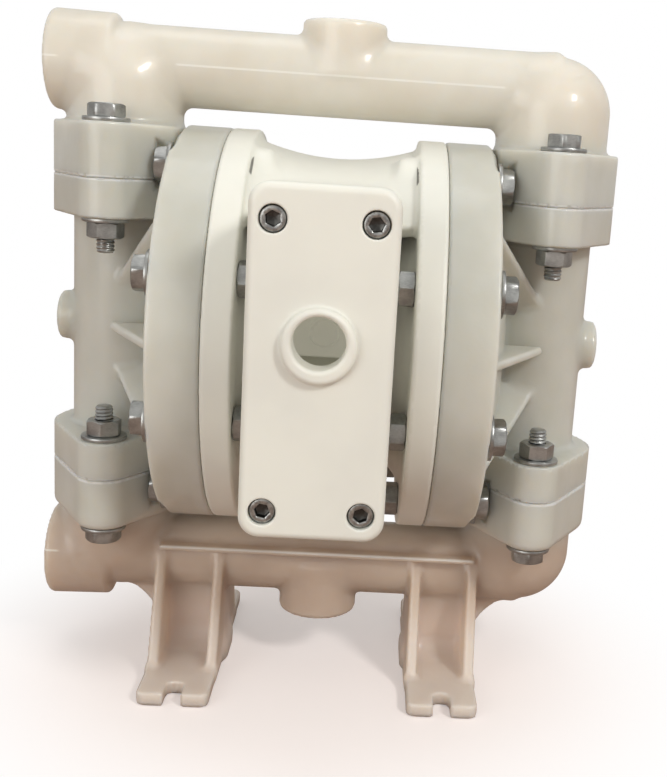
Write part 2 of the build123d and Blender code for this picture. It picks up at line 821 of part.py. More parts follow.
def diaphragm():
    """A round diaphragm: clamped rim, a rolled ring that flexes and a flat middle."""
    near = diaphragm_plane - diaphragm_thickness / 2
    far = diaphragm_plane + diaphragm_thickness / 2
    roll_radius = (inner_piston_radius + diaphragm_clamp_radius) / 2
    flat_radius = inner_piston_radius + diaphragm_flat_margin
    return turned([
        (near, shaft_thread_radius), (near, flat_radius), (near + diaphragm_roll_rise, roll_radius),
        (near, diaphragm_clamp_radius), (near, diaphragm_radius), (far, diaphragm_radius),
        (far, diaphragm_clamp_radius), (far + diaphragm_roll_rise, roll_radius), (far, flat_radius),
        (far, shaft_thread_radius),
    ])


# Ball valves

def valve_seat(joint, x):
    """A seat ring that fills the recess above a joint."""
    edge = seat_bore_radius
    groove = seat_oring_section + oring_squeeze_room
    floor = joint + 2 * groove
    return turned_upright([
        (edge, joint), (edge, joint + seat_height), (seat_radius, joint + seat_height), (seat_radius, joint),
        (seat_oring_radius + groove, joint), (seat_oring_radius + groove, floor),
        (seat_oring_radius - groove, floor), (seat_oring_radius - groove, joint),
    ], x)


def seat_orings():
    """The O-ring under each valve seat."""
    rise = seat_oring_section + oring_squeeze_room
    places = [(side * column_offset, joint + rise) for side in (-1, 1) for joint in (lower_joint, upper_joint)]
    return [Pos(x, 0, z) * Torus(seat_oring_radius, seat_oring_section) for x, z in places]


def valve_ball(joint, x):
    """A ball resting on its seat."""
    return Pos(x, 0, joint + ball_rest) * Sphere(ball_radius)


# Hardware

def washer(start, end):
    """A flat washer between two points on a bolt's line."""
    return rod(start, end, washer_radius) - rod(start, end, bolt_radius + running_gap)


def chamber_bolts():
    """Hexagon bolts through both rims, heads outwards."""
    bolts = []
    seat = head_end - head_height
    tip = ring_inner_face - nut_height - chamber_thread_stub
    for side in (-1, 1):
        for y, z in chamber_bolt_places():
            head = hexagon_bar((side * seat, y, z), (side * head_end, y, z), hex_across_flats)
            bolts.append(head + rod((side * seat, y, z), (side * tip, y, z), bolt_radius))
    return bolts


def chamber_washers():
    """The washers under the chamber bolt heads."""
    seat = head_end - head_height
    places = [(side, y, z) for side in (-1, 1) for y, z in chamber_bolt_places()]
    return [washer((side * liquid_rim_face, y, z), (side * seat, y, z)) for side, y, z in places]


def chamber_nuts():
    """The nuts behind the rings."""
    nuts = []
    end = ring_inner_face - nut_height
    for side in (-1, 1):
        for y, z in chamber_bolt_places():
            nut = hexagon_bar((side * ring_inner_face, y, z), (side * end, y, z), hex_across_flats)
            nuts.append(nut - rod((side * ring_inner_face, y, z), (side * end, y, z), bolt_radius + running_gap))
    return nuts


def joint_places():
    """Each manifold bolt as (x, y, joint height, way out to its head)."""
    places = []
    for joint, outward in ((upper_joint, 1), (lower_joint, -1)):
        for side in (-1, 1):
            for y in (-flange_bolt_y, flange_bolt_y):
                places.append((side * column_offset, y, joint, outward))
    return places


def manifold_bolts():
    """Hexagon bolts through the manifold and chamber flanges, heads outwards."""
    bolts = []
    for x, y, joint, outward in joint_places():
        seat = joint + outward * (manifold_flange_height + washer_thickness)
        top = seat + outward * head_height
        tip = joint - outward * (chamber_flange_height + washer_thickness + nut_height + manifold_thread_stub)
        head = hexagon_bar((x, y, seat), (x, y, top), hex_across_flats)
        bolts.append(head + rod((x, y, seat), (x, y, tip), bolt_radius))
    return bolts


def manifold_washers():
    """The washers under the heads and the nuts of the manifold bolts."""
    washers = []
    for x, y, joint, outward in joint_places():
        faces = ((manifold_flange_height, 1), (-chamber_flange_height, -1))
        for height, way in faces:
            face = joint + outward * height
            washers.append(washer((x, y, face), (x, y, face + way * outward * washer_thickness)))
    return washers


def manifold_nuts():
    """The nuts of the manifold bolts."""
    nuts = []
    for x, y, joint, outward in joint_places():
        start = joint - outward * (chamber_flange_height + washer_thickness)
        end = start - outward * nut_height
        nut = hexagon_bar((x, y, start), (x, y, end), hex_across_flats)
        nuts.append(nut - rod((x, y, start), (x, y, end), bolt_radius + running_gap))
    return nuts


def all_nodes():
    """Every sub-part by its name."""
    nodes = {
        "centre_block": centre_block(),
        "discharge_manifold": discharge_manifold(),
        "inlet_manifold": inlet_manifold(),
        "exhaust_plate": exhaust_plate(),
        "exhaust_gasket": exhaust_gasket(),
        "plate_screws": plate_screws(),
        "air_valve_body": air_valve_body(),
        "air_valve_gasket": air_valve_gasket(),
        "air_valve_spool": air_valve_spool(),
        "spool_rings": spool_rings(),
        "upper_valve_cap": valve_cap(1),
        "lower_valve_cap": valve_cap(-1),
        "valve_screws": valve_screws(),
        "pilot_sleeve": pilot_sleeve(),
        "pilot_orings": pilot_orings(),
        "pilot_spool": pilot_spool(),
        "shaft": shaft(),
        "shaft_seals": shaft_seals(),
        "seat_orings": seat_orings(),
        "chamber_bolts": chamber_bolts(),
        "chamber_washers": chamber_washers(),
        "chamber_nuts": chamber_nuts(),
        "manifold_bolts": manifold_bolts(),
        "manifold_washers": manifold_washers(),
        "manifold_nuts": manifold_nuts(),
    }
    nodes.update(left_and_right("liquid_chamber", liquid_chamber()))
    nodes.update(left_and_right("inner_piston", inner_piston()))
    nodes.update(left_and_right("outer_piston", outer_piston()))
    nodes.update(left_and_right("diaphragm", diaphragm()))
    for level, joint in (("inlet", lower_joint), ("outlet", upper_joint)):
        for side, x in (("left", -column_offset), ("right", column_offset)):
            nodes[f"{side}_{level}_seat"] = valve_seat(joint, x)
            nodes[f"{side}_{level}_ball"] = valve_ball(joint, x)
    return nodes


os.makedirs("parts", exist_ok=True)
for name, shape in all_nodes().items():
    solids = shape if isinstance(shape, list) else [shape]
    solids = [solid for piece in solids for solid in piece.solids()]
    export_step(Compound(children=solids) if len(solids) > 1 else solids[0], f"parts/{name}.step")
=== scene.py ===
import json
import math

import bpy
import numpy as np
from mathutils import Matrix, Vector
from numpy import hypot, maximum, minimum


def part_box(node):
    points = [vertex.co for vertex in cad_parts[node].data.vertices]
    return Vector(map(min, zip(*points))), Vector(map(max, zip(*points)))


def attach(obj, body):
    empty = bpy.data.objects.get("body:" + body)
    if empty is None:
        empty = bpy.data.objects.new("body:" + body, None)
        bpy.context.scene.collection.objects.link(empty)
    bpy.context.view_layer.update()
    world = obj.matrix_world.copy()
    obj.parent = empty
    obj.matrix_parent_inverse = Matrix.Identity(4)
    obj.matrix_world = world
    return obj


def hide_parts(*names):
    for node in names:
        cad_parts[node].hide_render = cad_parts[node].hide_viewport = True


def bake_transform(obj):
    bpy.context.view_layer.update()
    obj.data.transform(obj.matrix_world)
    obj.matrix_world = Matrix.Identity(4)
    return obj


bl_info = {
    "name": "Diaphragm Pump",
    "version": (1, 0, 0),
    "blender": (4, 5, 0),
    "location": "3D View > Sidebar > Pump",
    "description": "Dresses the packed frame of an air operated diaphragm pump",
    "category": "Add Mesh",
}

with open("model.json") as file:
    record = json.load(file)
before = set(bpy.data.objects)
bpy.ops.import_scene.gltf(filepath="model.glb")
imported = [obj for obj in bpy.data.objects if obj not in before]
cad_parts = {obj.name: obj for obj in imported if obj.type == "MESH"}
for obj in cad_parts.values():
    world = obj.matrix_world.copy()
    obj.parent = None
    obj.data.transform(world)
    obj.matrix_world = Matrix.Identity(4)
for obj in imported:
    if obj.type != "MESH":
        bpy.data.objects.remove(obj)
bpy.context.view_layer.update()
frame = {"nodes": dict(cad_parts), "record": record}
MM = 0.001  # a millimetre in metres
CORNERS = ((-1, -1), (-1, 1), (1, -1), (1, 1))

# Viewing place found from the photograph: focal length in pixels, shift in picture heights, metres
FOCAL, PICTURE_HEIGHT, SENSOR = 1105.904, 777, 36.0
SHIFT_X = -0.1113
CAMERA = (0.0139684, -0.4159288, 0.1988288)
AHEAD = (0.0502236, 0.97725003, -0.20605815)
UP = (-0.05673637, 0.20877707, 0.9763161)

# Sizes of the pump in millimetres. X runs along the shaft, Y back, Z up.
SHAFT = 132.0  # shaft line above the floor
COLUMN = 77.5  # flow column line from the middle
UPPER_JOINT, LOWER_JOINT = 184.5, 79.5
HALF = (UPPER_JOINT - LOWER_JOINT) / 2
UPPER_LINE, LOWER_LINE = 39.5, 37.5  # manifold pipe lines out from their joints
PORT_LINE = 39.5  # lines of both ports out from their joints
PIPE, SOCKET, LEG, CHAMBER_LEG = 14.0, 17.0, 20.5, 18.0
SOCKET_END, SOCKET_START = 103.0, 80.0
WAIST, BOSS, BOLT_Y = 25.0, 9.5, 30.3  # bolt flange: radii of its middle and ends, bolts from the middle
MANIFOLD_FLANGE, CHAMBER_FLANGE = 18.5, 13.5
INNER = 57.0  # inner side of the manifold flanges
PORT_BOSS, PORT_BOSS_REACH = 15.0, 19.4
PORT_BORE, PORT_END = 10.7, -85.0  # room of the thread's lining in a side port
FLOW, CAGE, SEAT = 9.0, 13.4, 15.5  # radii of passages, ball cages and seats
SEAT_HEIGHT, CAGE_TOP = 6.0, 25.18
BOLT, HOLE, WASHER = 3.175, 3.475, 7.95
FLATS, HEAD, NUT, WASHER_THICK = 11.1, 4.5, 5.5, 1.5
HEAD_ROOM, HEAD_ROOM_END = WASHER + 0.6, 62.6  # radius and reach of the room for a chamber bolt's head
PITCH, THREAD_DEPTH = 1.27, 0.42  # thread of the quarter inch bolts
BOLT_CIRCLE = 62.6
BOLT_NEAR = BOLT_CIRCLE * math.sin(math.pi / 8)
BOLT_FAR = BOLT_CIRCLE * math.cos(math.pi / 8)
RIM, RING_FACE, PLANE, RIM_FACE = 72.0, 28.5, 38.5, 56.0  # radius of the rims, then x of their faces
NUT_POCKET, NUT_POCKET_START, TIP_POCKET_START = 6.81, 22.6, 19.6
NUT_COVER = 7.71  # boss on the roof over a nut
CLAMPED = 58.0  # radius of the room for a diaphragm's rim
SHAFT_BORE, PILOT_BORE, PILOT_RISE = 7.05, 7.0, 21
RIB = 1.5  # half of a chamber rib's thickness
NUB, NUB_END = 9.0, 100.3  # round nub on the outside of a flow column
DISH, DISH_DEPTH = 42.0, 18  # hollow middle of the centre block
ROOF, ROOF_HALF = 60.5, 3.0  # radius of the roof in the middle and half its thickness
PLATE_MIDDLE = 135.3
PLATE_FRONT, PLATE_BACK, NECK_FRONT = 95.0, 87.0, 85.5
PLATE_SCREWS = (15.0, -1.1, 44.1)  # across, rise of the pattern, half height
PLATE_HOLE, COUNTERBORE, COUNTERBORE_DEPTH = 2.7, 4.25, 5.2
# Half width, half height and corner radius of upright rounded blocks
NECK, NECK_FLANGE, VALVE_PAD = (19.5, 50.5, 3.2), (21.3, 52.7, 6.0), (22, 38, 3.0)
POCKET, LOW_POCKET = (13.5, 30, 3.2), (13.5, 13.4, 3.0)
PLATE, VALVE = (22.3, 53.7, 6.5), (22.5, 41, 5.0)
PORT_RISE, PORT, LIP, LIP_HEIGHT, LIP_DROP = 7.7, 8.0, 11.4, 3.0, 0.9
VALVE_FRONT, VALVE_BACK, VALVE_SPOOL = 61.5, 91.5, 76.5
SPOOL_BORE, PLUG_ROOM, AIR_PASSAGE, AIR_BORE = 9.0, 12.0, 3.5, 6.9
VALVE_SCREWS, AIR_BOSS = (16.0, 33.0), 4
FOOT, FOOT_HALF, FOOT_REACH, FOOT_THICK = 48.6, 12.9, 49.6, 5
FOOT_RIB, FOOT_RIB_HALF, FOOT_TOP = 10.9, 2.0, 49
NOTCH, NOTCH_END = 3.2, 42.8
LEDGE = (-60, -18, 47), (60, 18, 49)
# Length, pitch, crest, root and outside radius of the linings with threads
PIPE_THREAD = (18.0, 1.814, 9.3, 10.4, 10.9)
AIR_THREAD = (9.0, 1.337, 5.7, 6.6, 7.1)


# Distances: each function gives, for arrays of points, how far they are outside a shape

def slab(outline, along, low, high, edge=0.8):
    """An outline's distance carried from low to high, with its rims rounded by edge."""
    across = outline + edge
    length = abs(along - (low + high) / 2) - (high - low) / 2 + edge
    inside = minimum(maximum(across, length), 0)
    return inside + hypot(maximum(across, 0), maximum(length, 0)) - edge


def bar(along, away, low, high, radius, edge=0.8):
    """A round bar: away is the distance from its axis."""
    return slab(away - radius, along, low, high, edge)


def pad(across, up, half_width, half_height, corner):
    """A rounded rectangle: the distance to a smaller one, less its corner radius."""
    u = abs(across) - half_width + corner
    v = abs(up) - half_height + corner
    return minimum(maximum(u, v), 0) + hypot(maximum(u, 0), maximum(v, 0)) - corner


def brick(x, y, z, low, high, edge=0.8):
    """A block between two corners, with its edges rounded by edge."""
    middle = [(a + b) / 2 for a, b in zip(low, high)]
    half = [(b - a) / 2 for a, b in zip(low, high)]
    return slab(pad(x - middle[0], y - middle[1], half[0], half[1], edge), z, low[2], high[2], edge)


def join(first, second, radius):
    """Both shapes, with a fillet: a quarter circle between the two distances."""
    near = hypot(maximum(radius - first, 0), maximum(radius - second, 0))
    return maximum(minimum(first, second), radius) - near


def meet(first, second, radius):
    """What both shapes share, with the edge between them rounded."""
    return -join(-first, -second, radius)


def carve(first, second, radius=0.5):
    """The first shape without the second, with the edge between them rounded."""
    return meet(first, -second, radius)


def bores(body, *cuts):
    """A body less round holes: each has its along, distance from its axis, low, high, radius and edge."""
    for along, away, low, high, radius, edge in cuts:
        body = carve(body, bar(along, away, low, high, radius, 0), edge)
    return body


def hull(across, along, big, small, reach):
    """Plan of a bolt flange: two tangents join a big circle to a small one at reach, front and back."""
    u, v = abs(across), abs(along)
    lean = (big - small) / reach
    rise = math.sqrt(1 - lean * lean)
    place = v * rise - u * lean
    flat = u * rise + v * lean - big
    tip = hypot(u, v - reach) - small
    return np.where(place < 0, hypot(u, v) - big, np.where(place > rise * reach, tip, flat))


def through(first, second, third):
    """Middle and radius of the circle through three points."""
    rows = np.array([first, second, third], float)
    sums = (rows ** 2).sum(1)
    matrix = np.column_stack([2 * rows, np.ones(3)])
    a, b, c = np.linalg.solve(matrix, sums)
    return a, b, math.sqrt(c + a * a + b * b)


def manifold(x, y, w, line, tip):
    """Cross pipe, socket, two capped legs, bolt flanges and port boss; w runs out from the joint.

    The pipe's line is at w = line. The far rims of the flanges are rounded by tip.
    """
    side = abs(x) - COLUMN
    off_line = hypot(y, w - line)
    pipe = bar(x, off_line, -COLUMN, COLUMN, PIPE, 1.0)
    off_port = hypot(y, w - PORT_LINE)
    socket = bar(x, off_port + 0.02 * (x + SOCKET_START), -SOCKET_END, -SOCKET_START, SOCKET, 1.8)
    leg = np.sqrt(side ** 2 + y ** 2 + maximum(w - (line + PIPE - LEG - 1.2), 0) ** 2) - LEG
    leg = meet(leg, -w, 0.4)
    plan = hull(side, y, WAIST, BOSS, BOLT_Y)
    flange = meet(plan, abs(w - 5) - 5, 0.2)
    flange = minimum(flange, meet(plan, maximum(w - MANIFOLD_FLANGE, 5 - w), tip))
    flange = meet(flange, INNER - abs(x), 1.2)
    body = join(join(pipe, socket, 3.5), join(leg, flange, 2.0), 3.5)
    boss = bar(w, hypot(x, y), line, PORT_LINE + PORT_BOSS_REACH, PORT_BOSS, 1.6)
    return join(body, boss, 2.5)


def manifold_cuts(body, x, y, w):
    """Takes the port, the passages, the bolt holes and the room for the chamber bolt heads out."""
    side = abs(x) - COLUMN
    off_line = hypot(y, w - PORT_LINE)
    head = hypot(abs(y) - BOLT_NEAR, w - (SHAFT + BOLT_FAR - UPPER_JOINT))
    return bores(
        body, (x, off_line, -SOCKET_END - 9, PORT_END, PORT_BORE, 0.7),
        (x, off_line, PORT_END - 1, COLUMN, FLOW, 0.4),
        (w, hypot(side, y), -9, PORT_LINE, FLOW, 0.4),
        (w, hypot(side, abs(y) - BOLT_Y), -9, 30, HOLE, 0.4),
        (abs(x), head, 50, HEAD_ROOM_END, HEAD_ROOM, 0.6),
    )


def discharge_form(x, y, z):
    """The top manifold, with its seats' recesses and ball cages."""
    w = z - UPPER_JOINT
    body = manifold_cuts(manifold(x, y, w, UPPER_LINE, 1.0), x, y, w)
    away = hypot(abs(x) - COLUMN, y)
    return bores(body, (w, away, -9, SEAT_HEIGHT, SEAT, 0.4), (w, away, -9, CAGE_TOP, CAGE, 0.8))


def foot_form(x, y, z):
    """A notched base, and a leg of two side ribs and a web that runs out softly onto the base."""
    u, v = abs(x) - FOOT, abs(y)
    base = slab(pad(u, v, FOOT_HALF, FOOT_REACH, 3.0), z, 0, FOOT_THICK, 0.9)
    slope = (v - 29.5) * 0.936 + (z - FOOT_THICK) * 0.351
    ribs = meet(slope, maximum(z - FOOT_TOP, 2 - z), 1.2)
    ribs = meet(ribs, abs(abs(u) - FOOT_RIB) - FOOT_RIB_HALF, 1.3)
    web = meet(v - 6.0 - 0.02 * (FOOT_TOP - z), maximum(abs(z - 26) - 23, abs(u) - 11), 0.5)
    body = join(join(web, base, 9.0), ribs, 2.5)
    notch = hypot(u, minimum(v - NOTCH_END, 0)) - NOTCH
    return carve(body, notch, 0.7)


def gusset_form(x, y, z):
    """A thin web between the outside of a foot and the elbow, outside a circle's arc."""
    u = abs(x)
    middle_x, middle_z, radius = through((61.5, 5), (66.1, 21.5), (81.5, 29.4))
    area = maximum(maximum(57.5 - u, u - 81.5), maximum(5 - z, z - 41))
    area = meet(area, radius - hypot(u - middle_x, z - middle_z), 0.5)
    return slab(area, y, -3, 3, 1.2)


def inlet_form(x, y, z):
    """The bottom manifold upside down, with its ledge, feet and webs."""
    w = LOWER_JOINT - z
    body = manifold(x, y, w, LOWER_LINE, 2.6)
    legs = join(foot_form(x, y, z), gusset_form(x, y, z), 2.0)
    ledge = brick(x, y, z, *LEDGE, 0.9)
    body = join(join(body, ledge, 1.2), legs, 2.0)
    return manifold_cuts(body, x, y, w)


def chamber_form(x, y, z):
    """The right liquid chamber: rim, dome, flow column, flanges, ribs and nub, then its cuts."""
    a, b = abs(y), z - SHAFT
    away = hypot(a, b)
    off_column = hypot(x - COLUMN, y)
    rim = bar(x, away, PLANE, RIM_FACE, RIM, 1.2)
    cone = (x - RIM_FACE) * 0.916 + (away - 53) * 0.401
    dome = meet(cone, maximum(maximum(x - 63, 52 - x), away - 66), 5.0)
    column = bar(z, off_column, LOWER_JOINT, UPPER_JOINT, CHAMBER_LEG, 0.3)
    plan = hull(x - COLUMN, y, WAIST, BOSS, BOLT_Y)
    flanges = meet(plan, maximum(abs(b) - HALF, HALF - CHAMBER_FLANGE - abs(b)), 0.25)
    nub = bar(x, away, COLUMN, NUB_END, NUB, 1.4)
    level = slab(rib_profile(x, a), b, -RIB, RIB, 1.2)
    outward, aside = (a + abs(b)) * math.sqrt(0.5), (a - abs(b)) * math.sqrt(0.5)
    slant = slab(rib_profile(x, outward), aside, -RIB, RIB, 1.2)
    body = join(join(rim, dome, 3.0), join(column, nub, 2.5), 4.0)
    body = join(body, minimum(level, slant), 1.5)
    body = join(body, flanges, 2.0)
    body = meet(body, abs(b) - HALF - 99 * (x < RIM_FACE + 0.5), 0.3)
    cavity = maximum((x - 51) * 0.906 + (away - 47) * 0.423, (x - 40) * 0.414 + (away - 52) * 0.911)
    body = carve(body, maximum(cavity, x - 58), 0.5)
    up = z - LOWER_JOINT
    body = bores(
        body, (x, away, 30, 40, CLAMPED, 0.3), (b, off_column, -60, 60, FLOW, 0.3),
        (up, off_column, -9, SEAT_HEIGHT, SEAT, 0.3), (up, off_column, -9, CAGE_TOP, CAGE, 0.8),
    )
    body = carve(body, brick(x, y, z, (57, -9, 114), (COLUMN, 9, 150), 1.0), 0.5)
    hole = off_bolts(a, abs(b))
    return bores(
        body, (x, hole, 30, 57, HOLE, 0.3), (x, hole, RIM_FACE, HEAD_ROOM_END, HEAD_ROOM, 0.6),
        (b, hypot(x - COLUMN, a - BOLT_Y), -99, 99, HOLE, 0.4),
    )


def off_bolts(a, b):
    """Distance from the nearest chamber bolt line, in the quarter where both are positive."""
    return minimum(hypot(a - BOLT_FAR, b - BOLT_NEAR), hypot(a - BOLT_NEAR, b - BOLT_FAR))


def rib_profile(x, reach):
    """Side of a rib: from the rim's face down to the column."""
    slope = maximum((x - RIM_FACE) * 0.881 + (reach - 62) * 0.474, reach - 62)
    return maximum(slope, maximum(maximum(50 - x, x - COLUMN), 20 - reach))


def under_roof(cut, above, away, limit):
    """A cut that ends at a radius where it is above the shaft line, so that the roof stays closed."""
    return np.where(above, maximum(cut, away - limit), cut)


def centre_form(x, y, z):
    """The white block: rings, dishes, roof, exhaust neck and valve pad, then its cuts."""
    a, b, c = abs(x), z - SHAFT, z - PLATE_MIDDLE
    away = hypot(y, b)
    ring = bar(a, away, RING_FACE, PLANE, RIM, 1.0)
    dish = meet((away - DISH) * 0.6486 - (a - 17) * 0.761, maximum(a - PLANE, away - 60), 1.0)
    dish = minimum(dish, bar(a, away, -DISH_DEPTH, DISH_DEPTH, DISH, 0.5))
    body = join(ring, dish, 2.5)
    arch = abs(away - ROOF - 5 * (a / RING_FACE) ** 2) - ROOF_HALF
    end = abs(y) * 0.643 - b * 0.766
    roof = meet(maximum(arch, a - RING_FACE - 2), end, 1.2)
    off_nut = hypot(abs(y) - BOLT_NEAR, b - BOLT_FAR)
    cover = slab(off_nut - NUT_COVER, a, 21.2, RING_FACE + 2, 2.5)
    body = join(body, join(roof, meet(cover, 58 - away, 0.5), 3.5), 2.0)
    neck = slab(pad(x, c, *NECK), -y, 21, NECK_FRONT, 0.5)
    flange = slab(pad(x, c, *NECK_FLANGE), -y, 76.5, NECK_FRONT, 0.8)
    body = join(body, join(neck, flange, 1.5), 3.0)
    body = join(body, slab(pad(x, b, *VALVE_PAD), y, 21, 60, 0.6), 2.5)
    pocket = slab(pad(x, c, *POCKET), -y, 59.5, 99, 1.0)
    pocket = carve(pocket, bar(-y, hypot(x, c - 5.2), 50, 61.5, 4.6, 0.3), 0.5)
    pocket = minimum(pocket, slab(pad(x, c + 16.6, *LOW_POCKET), -y, 50, 70, 1.0))
    body = carve(body, pocket, 0.5)
    cavity = maximum(22 - a, ((away - 37) - (a - 22)) * math.sqrt(0.5))
    body = bores(
        carve(body, cavity, 0.5), (a, away, 37, 50, CLAMPED, 0.3), (x, away, -30, 30, SHAFT_BORE, 0.3),
        (x, hypot(y, b - PILOT_RISE), -30, 30, PILOT_BORE, 0.3),
    )
    v, w = abs(y), abs(b)
    hole, above = off_bolts(v, w), b > 0
    rod_way = bar(a, hole, 20, 50, HOLE, 0)
    body = carve(body, under_roof(rod_way, above & (a < RING_FACE), away, 62), 0.3)
    way = np.where(above, hypot(v - 0.94 * BOLT_NEAR, w - 0.94 * BOLT_FAR), 99)
    nut = bar(a, minimum(hole, way), NUT_POCKET_START, RING_FACE, NUT_POCKET, 0)
    body = carve(body, under_roof(nut, above, away, 63), 0.4)
    tip = bar(a, hole, TIP_POCKET_START, RING_FACE, BOLT + 0.4, 0)
    body = carve(body, under_roof(tip, above, away, 62), 0.3)
    plate_across, rise, plate_half = PLATE_SCREWS
    across, half = VALVE_SCREWS
    return bores(
        body, (-y, hypot(a - plate_across, abs(c - rise) - plate_half), 67, 99, 2.4, 0.3),
        (y, hypot(a - across, w - half), 44.6, 99, BOLT, 0.3),
    )


def plate_form(x, y, z):
    """The exhaust plate: a rounded plate with a round lip, the port and four counterbores."""
    c = z - PLATE_MIDDLE
    body = meet(pad(x, c, *PLATE), -y - PLATE_FRONT, 2.4)
    body = meet(body, y + PLATE_BACK, 0.5)
    off_port, off_lip = hypot(x, c - PORT_RISE), hypot(x, c - PORT_RISE + LIP_DROP)
    body = join(body, bar(-y, off_lip, 90, PLATE_FRONT + LIP_HEIGHT, LIP, 1.55), 1.0)
    across, rise, half = PLATE_SCREWS
    off_screw = hypot(abs(x) - across, abs(c - rise) - half)
    return bores(
        body, (-y, off_port, 80, 110, PORT, 1.4),
        (-y, off_screw, PLATE_FRONT - COUNTERBORE_DEPTH, 110, COUNTERBORE, 0.45),
        (-y, off_screw, 80, 110, PLATE_HOLE, 0.3),
    )


def valve_form(x, y, z):
    """The air valve block with its inlet boss, spool bore and screw holes."""
    b = z - SHAFT
    body = slab(pad(x, b, *VALVE), y, VALVE_FRONT, VALVE_BACK, 2.0)
    off_inlet, off_spool = hypot(x, b), hypot(x, y - VALVE_SPOOL)
    body = join(body, bar(y, off_inlet, 80, VALVE_BACK + AIR_BOSS, 10.5, 1.0), 1.5)
    across, half = VALVE_SCREWS
    return bores(
        body, (b, off_spool, -60, 60, SPOOL_BORE, 0.4), (abs(b), off_spool, 33, 60, PLUG_ROOM, 0.7),
        (y, off_inlet, 70, 110, AIR_PASSAGE, 0.4), (y, off_inlet, VALVE_BACK - 5, 110, AIR_BORE, 0.7),
        (y, hypot(abs(x) - across, abs(b) - half), 50, 110, HOLE, 0.4),
    )


# From a distance to a skin

CELL_CORNERS = np.array([(i, j, k) for i in (0, 1) for j in (0, 1) for k in (0, 1)])
CELL_EDGES = np.array([(p, q) for p in range(8) for q in range(p + 1, 8) if bin(p ^ q).count("1") == 1])
BLOCK = 8


def slopes(form, points, reach=0.02):
    """Gradient of a distance, from four points round each point."""
    total = np.zeros_like(points)
    for way in ((1, -1, -1), (-1, -1, 1), (-1, 1, -1), (1, 1, 1)):
        way = np.array(way, float)
        total += form(*(points + reach * way).T)[:, None] * way
    return total / (4 * reach)


def sampled(form, low, high, step):
    """The distance on a grid. Blocks far from the surface keep only their sign."""
    count = np.ceil((high - low) / step / BLOCK).astype(int)
    axes = [(low[i] + step * np.arange(count[i] * BLOCK)).reshape(-1, BLOCK) for i in range(3)]
    x, y, z = (axis.mean(1) for axis in axes)
    coarse = form(x[:, None, None], y[None, :, None], z[None, None, :]) + np.zeros(count)
    near = np.argwhere(abs(coarse) < step * BLOCK)
    grid = np.empty((count[0], BLOCK, count[1], BLOCK, count[2], BLOCK), np.float32)
    grid[:] = np.sign(coarse)[:, None, :, None, :, None]
    for part in np.array_split(near, max(1, len(near) // 2000)):
        i, j, k = part.T
        value = form(axes[0][i][:, :, None, None], axes[1][j][:, None, :, None], axes[2][k][:, None, None, :])
        grid[i, :, j, :, k, :] = value
    return grid.reshape(count * BLOCK)


def skin(form, low, high, step):
    """Closed mesh of a distance: a point in each crossed cell, moved onto the surface in the box."""
    box = np.array(low, float), np.array(high, float)
    low = box[0] - 2.3 * step
    grid = sampled(form, low, box[1] + 2.3 * step, step)
    inside = grid < 0
    n = np.array(grid.shape)
    parts = (inside[i:n[0] - 1 + i, j:n[1] - 1 + j, k:n[2] - 1 + k] for i, j, k in CELL_CORNERS)
    total = sum(part.astype(np.int8) for part in parts)
    crossed = (total > 0) & (total < 8)
    cells = np.argwhere(crossed)
    index = np.full(crossed.shape, -1, np.int64)
    index[crossed] = np.arange(len(cells))
    corner = grid[tuple(np.moveaxis(cells[:, None, :] + CELL_CORNERS, 2, 0))].astype(float)
    start, end = corner[:, CELL_EDGES[:, 0]], corner[:, CELL_EDGES[:, 1]]
    cut = (start < 0) != (end < 0)
    share = np.where(cut, start / np.where(cut, start - end, 1), 0)[..., None]
    from_corner, to_corner = CELL_CORNERS[CELL_EDGES[:, 0]], CELL_CORNERS[CELL_EDGES[:, 1]]
    place = (from_corner + share * (to_corner - from_corner)) * cut[..., None]
    points = low + step * (cells + place.sum(1) / cut.sum(1)[:, None])
    faces, steps = [], np.eye(3, dtype=int)
    for axis in range(3):
        second, third = steps[(axis + 1) % 3], steps[(axis + 2) % 3]
        before = np.take(inside, np.arange(n[axis] - 1), axis)
        after = np.take(inside, np.arange(1, n[axis]), axis)
        edge = np.argwhere(before != after)
        out = before[tuple(edge.T)]
        ring = [index[tuple((edge - way).T)] for way in (second + third, third, 0, second)]
        quad = np.stack(ring, 1)
        quad[~out] = quad[~out][:, ::-1]
        faces.append(quad)
    for _ in range(4):
        slope = slopes(form, points)
        move = np.clip(form(*points.T), -0.5 * step, 0.5 * step) / maximum((slope ** 2).sum(1), 0.3)
        points = points - move[:, None] * slope
    points = np.clip(points, *box)
    return points, [np.concatenate(faces)], slopes(form, points, 0.2)


# From rows of radii to a skin

SIDES = 48


def turns(sides=SIDES):
    """Angles of one ring of points."""
    return np.arange(sides) * 2 * math.pi / sides


def hexagon(flats, limit, sides=SIDES):
    """Radius of a hexagon at each angle, no more than limit."""
    turn = (turns(sides) + math.pi / 6) % (math.pi / 3) - math.pi / 6
    return minimum(flats / 2 / np.cos(turn), limit)


def thread(rows, pitch, depth, radius, sides=SIDES, tip=None):
    """Rows of a screw thread: the radius falls and rises once a pitch, and once round a turn."""
    height = np.asarray(rows, float)[:, None]
    wave = abs(2 * ((height / pitch - turns(sides) / (2 * math.pi)) % 1) - 1)
    value = radius - depth * np.clip(1.3 * wave - 0.1, 0, 1)
    if tip is not None:
        value = minimum(value, radius - depth - 0.25 + abs(height - tip) * 0.9)
    return [(h[0], r) for h, r in zip(height, value)]


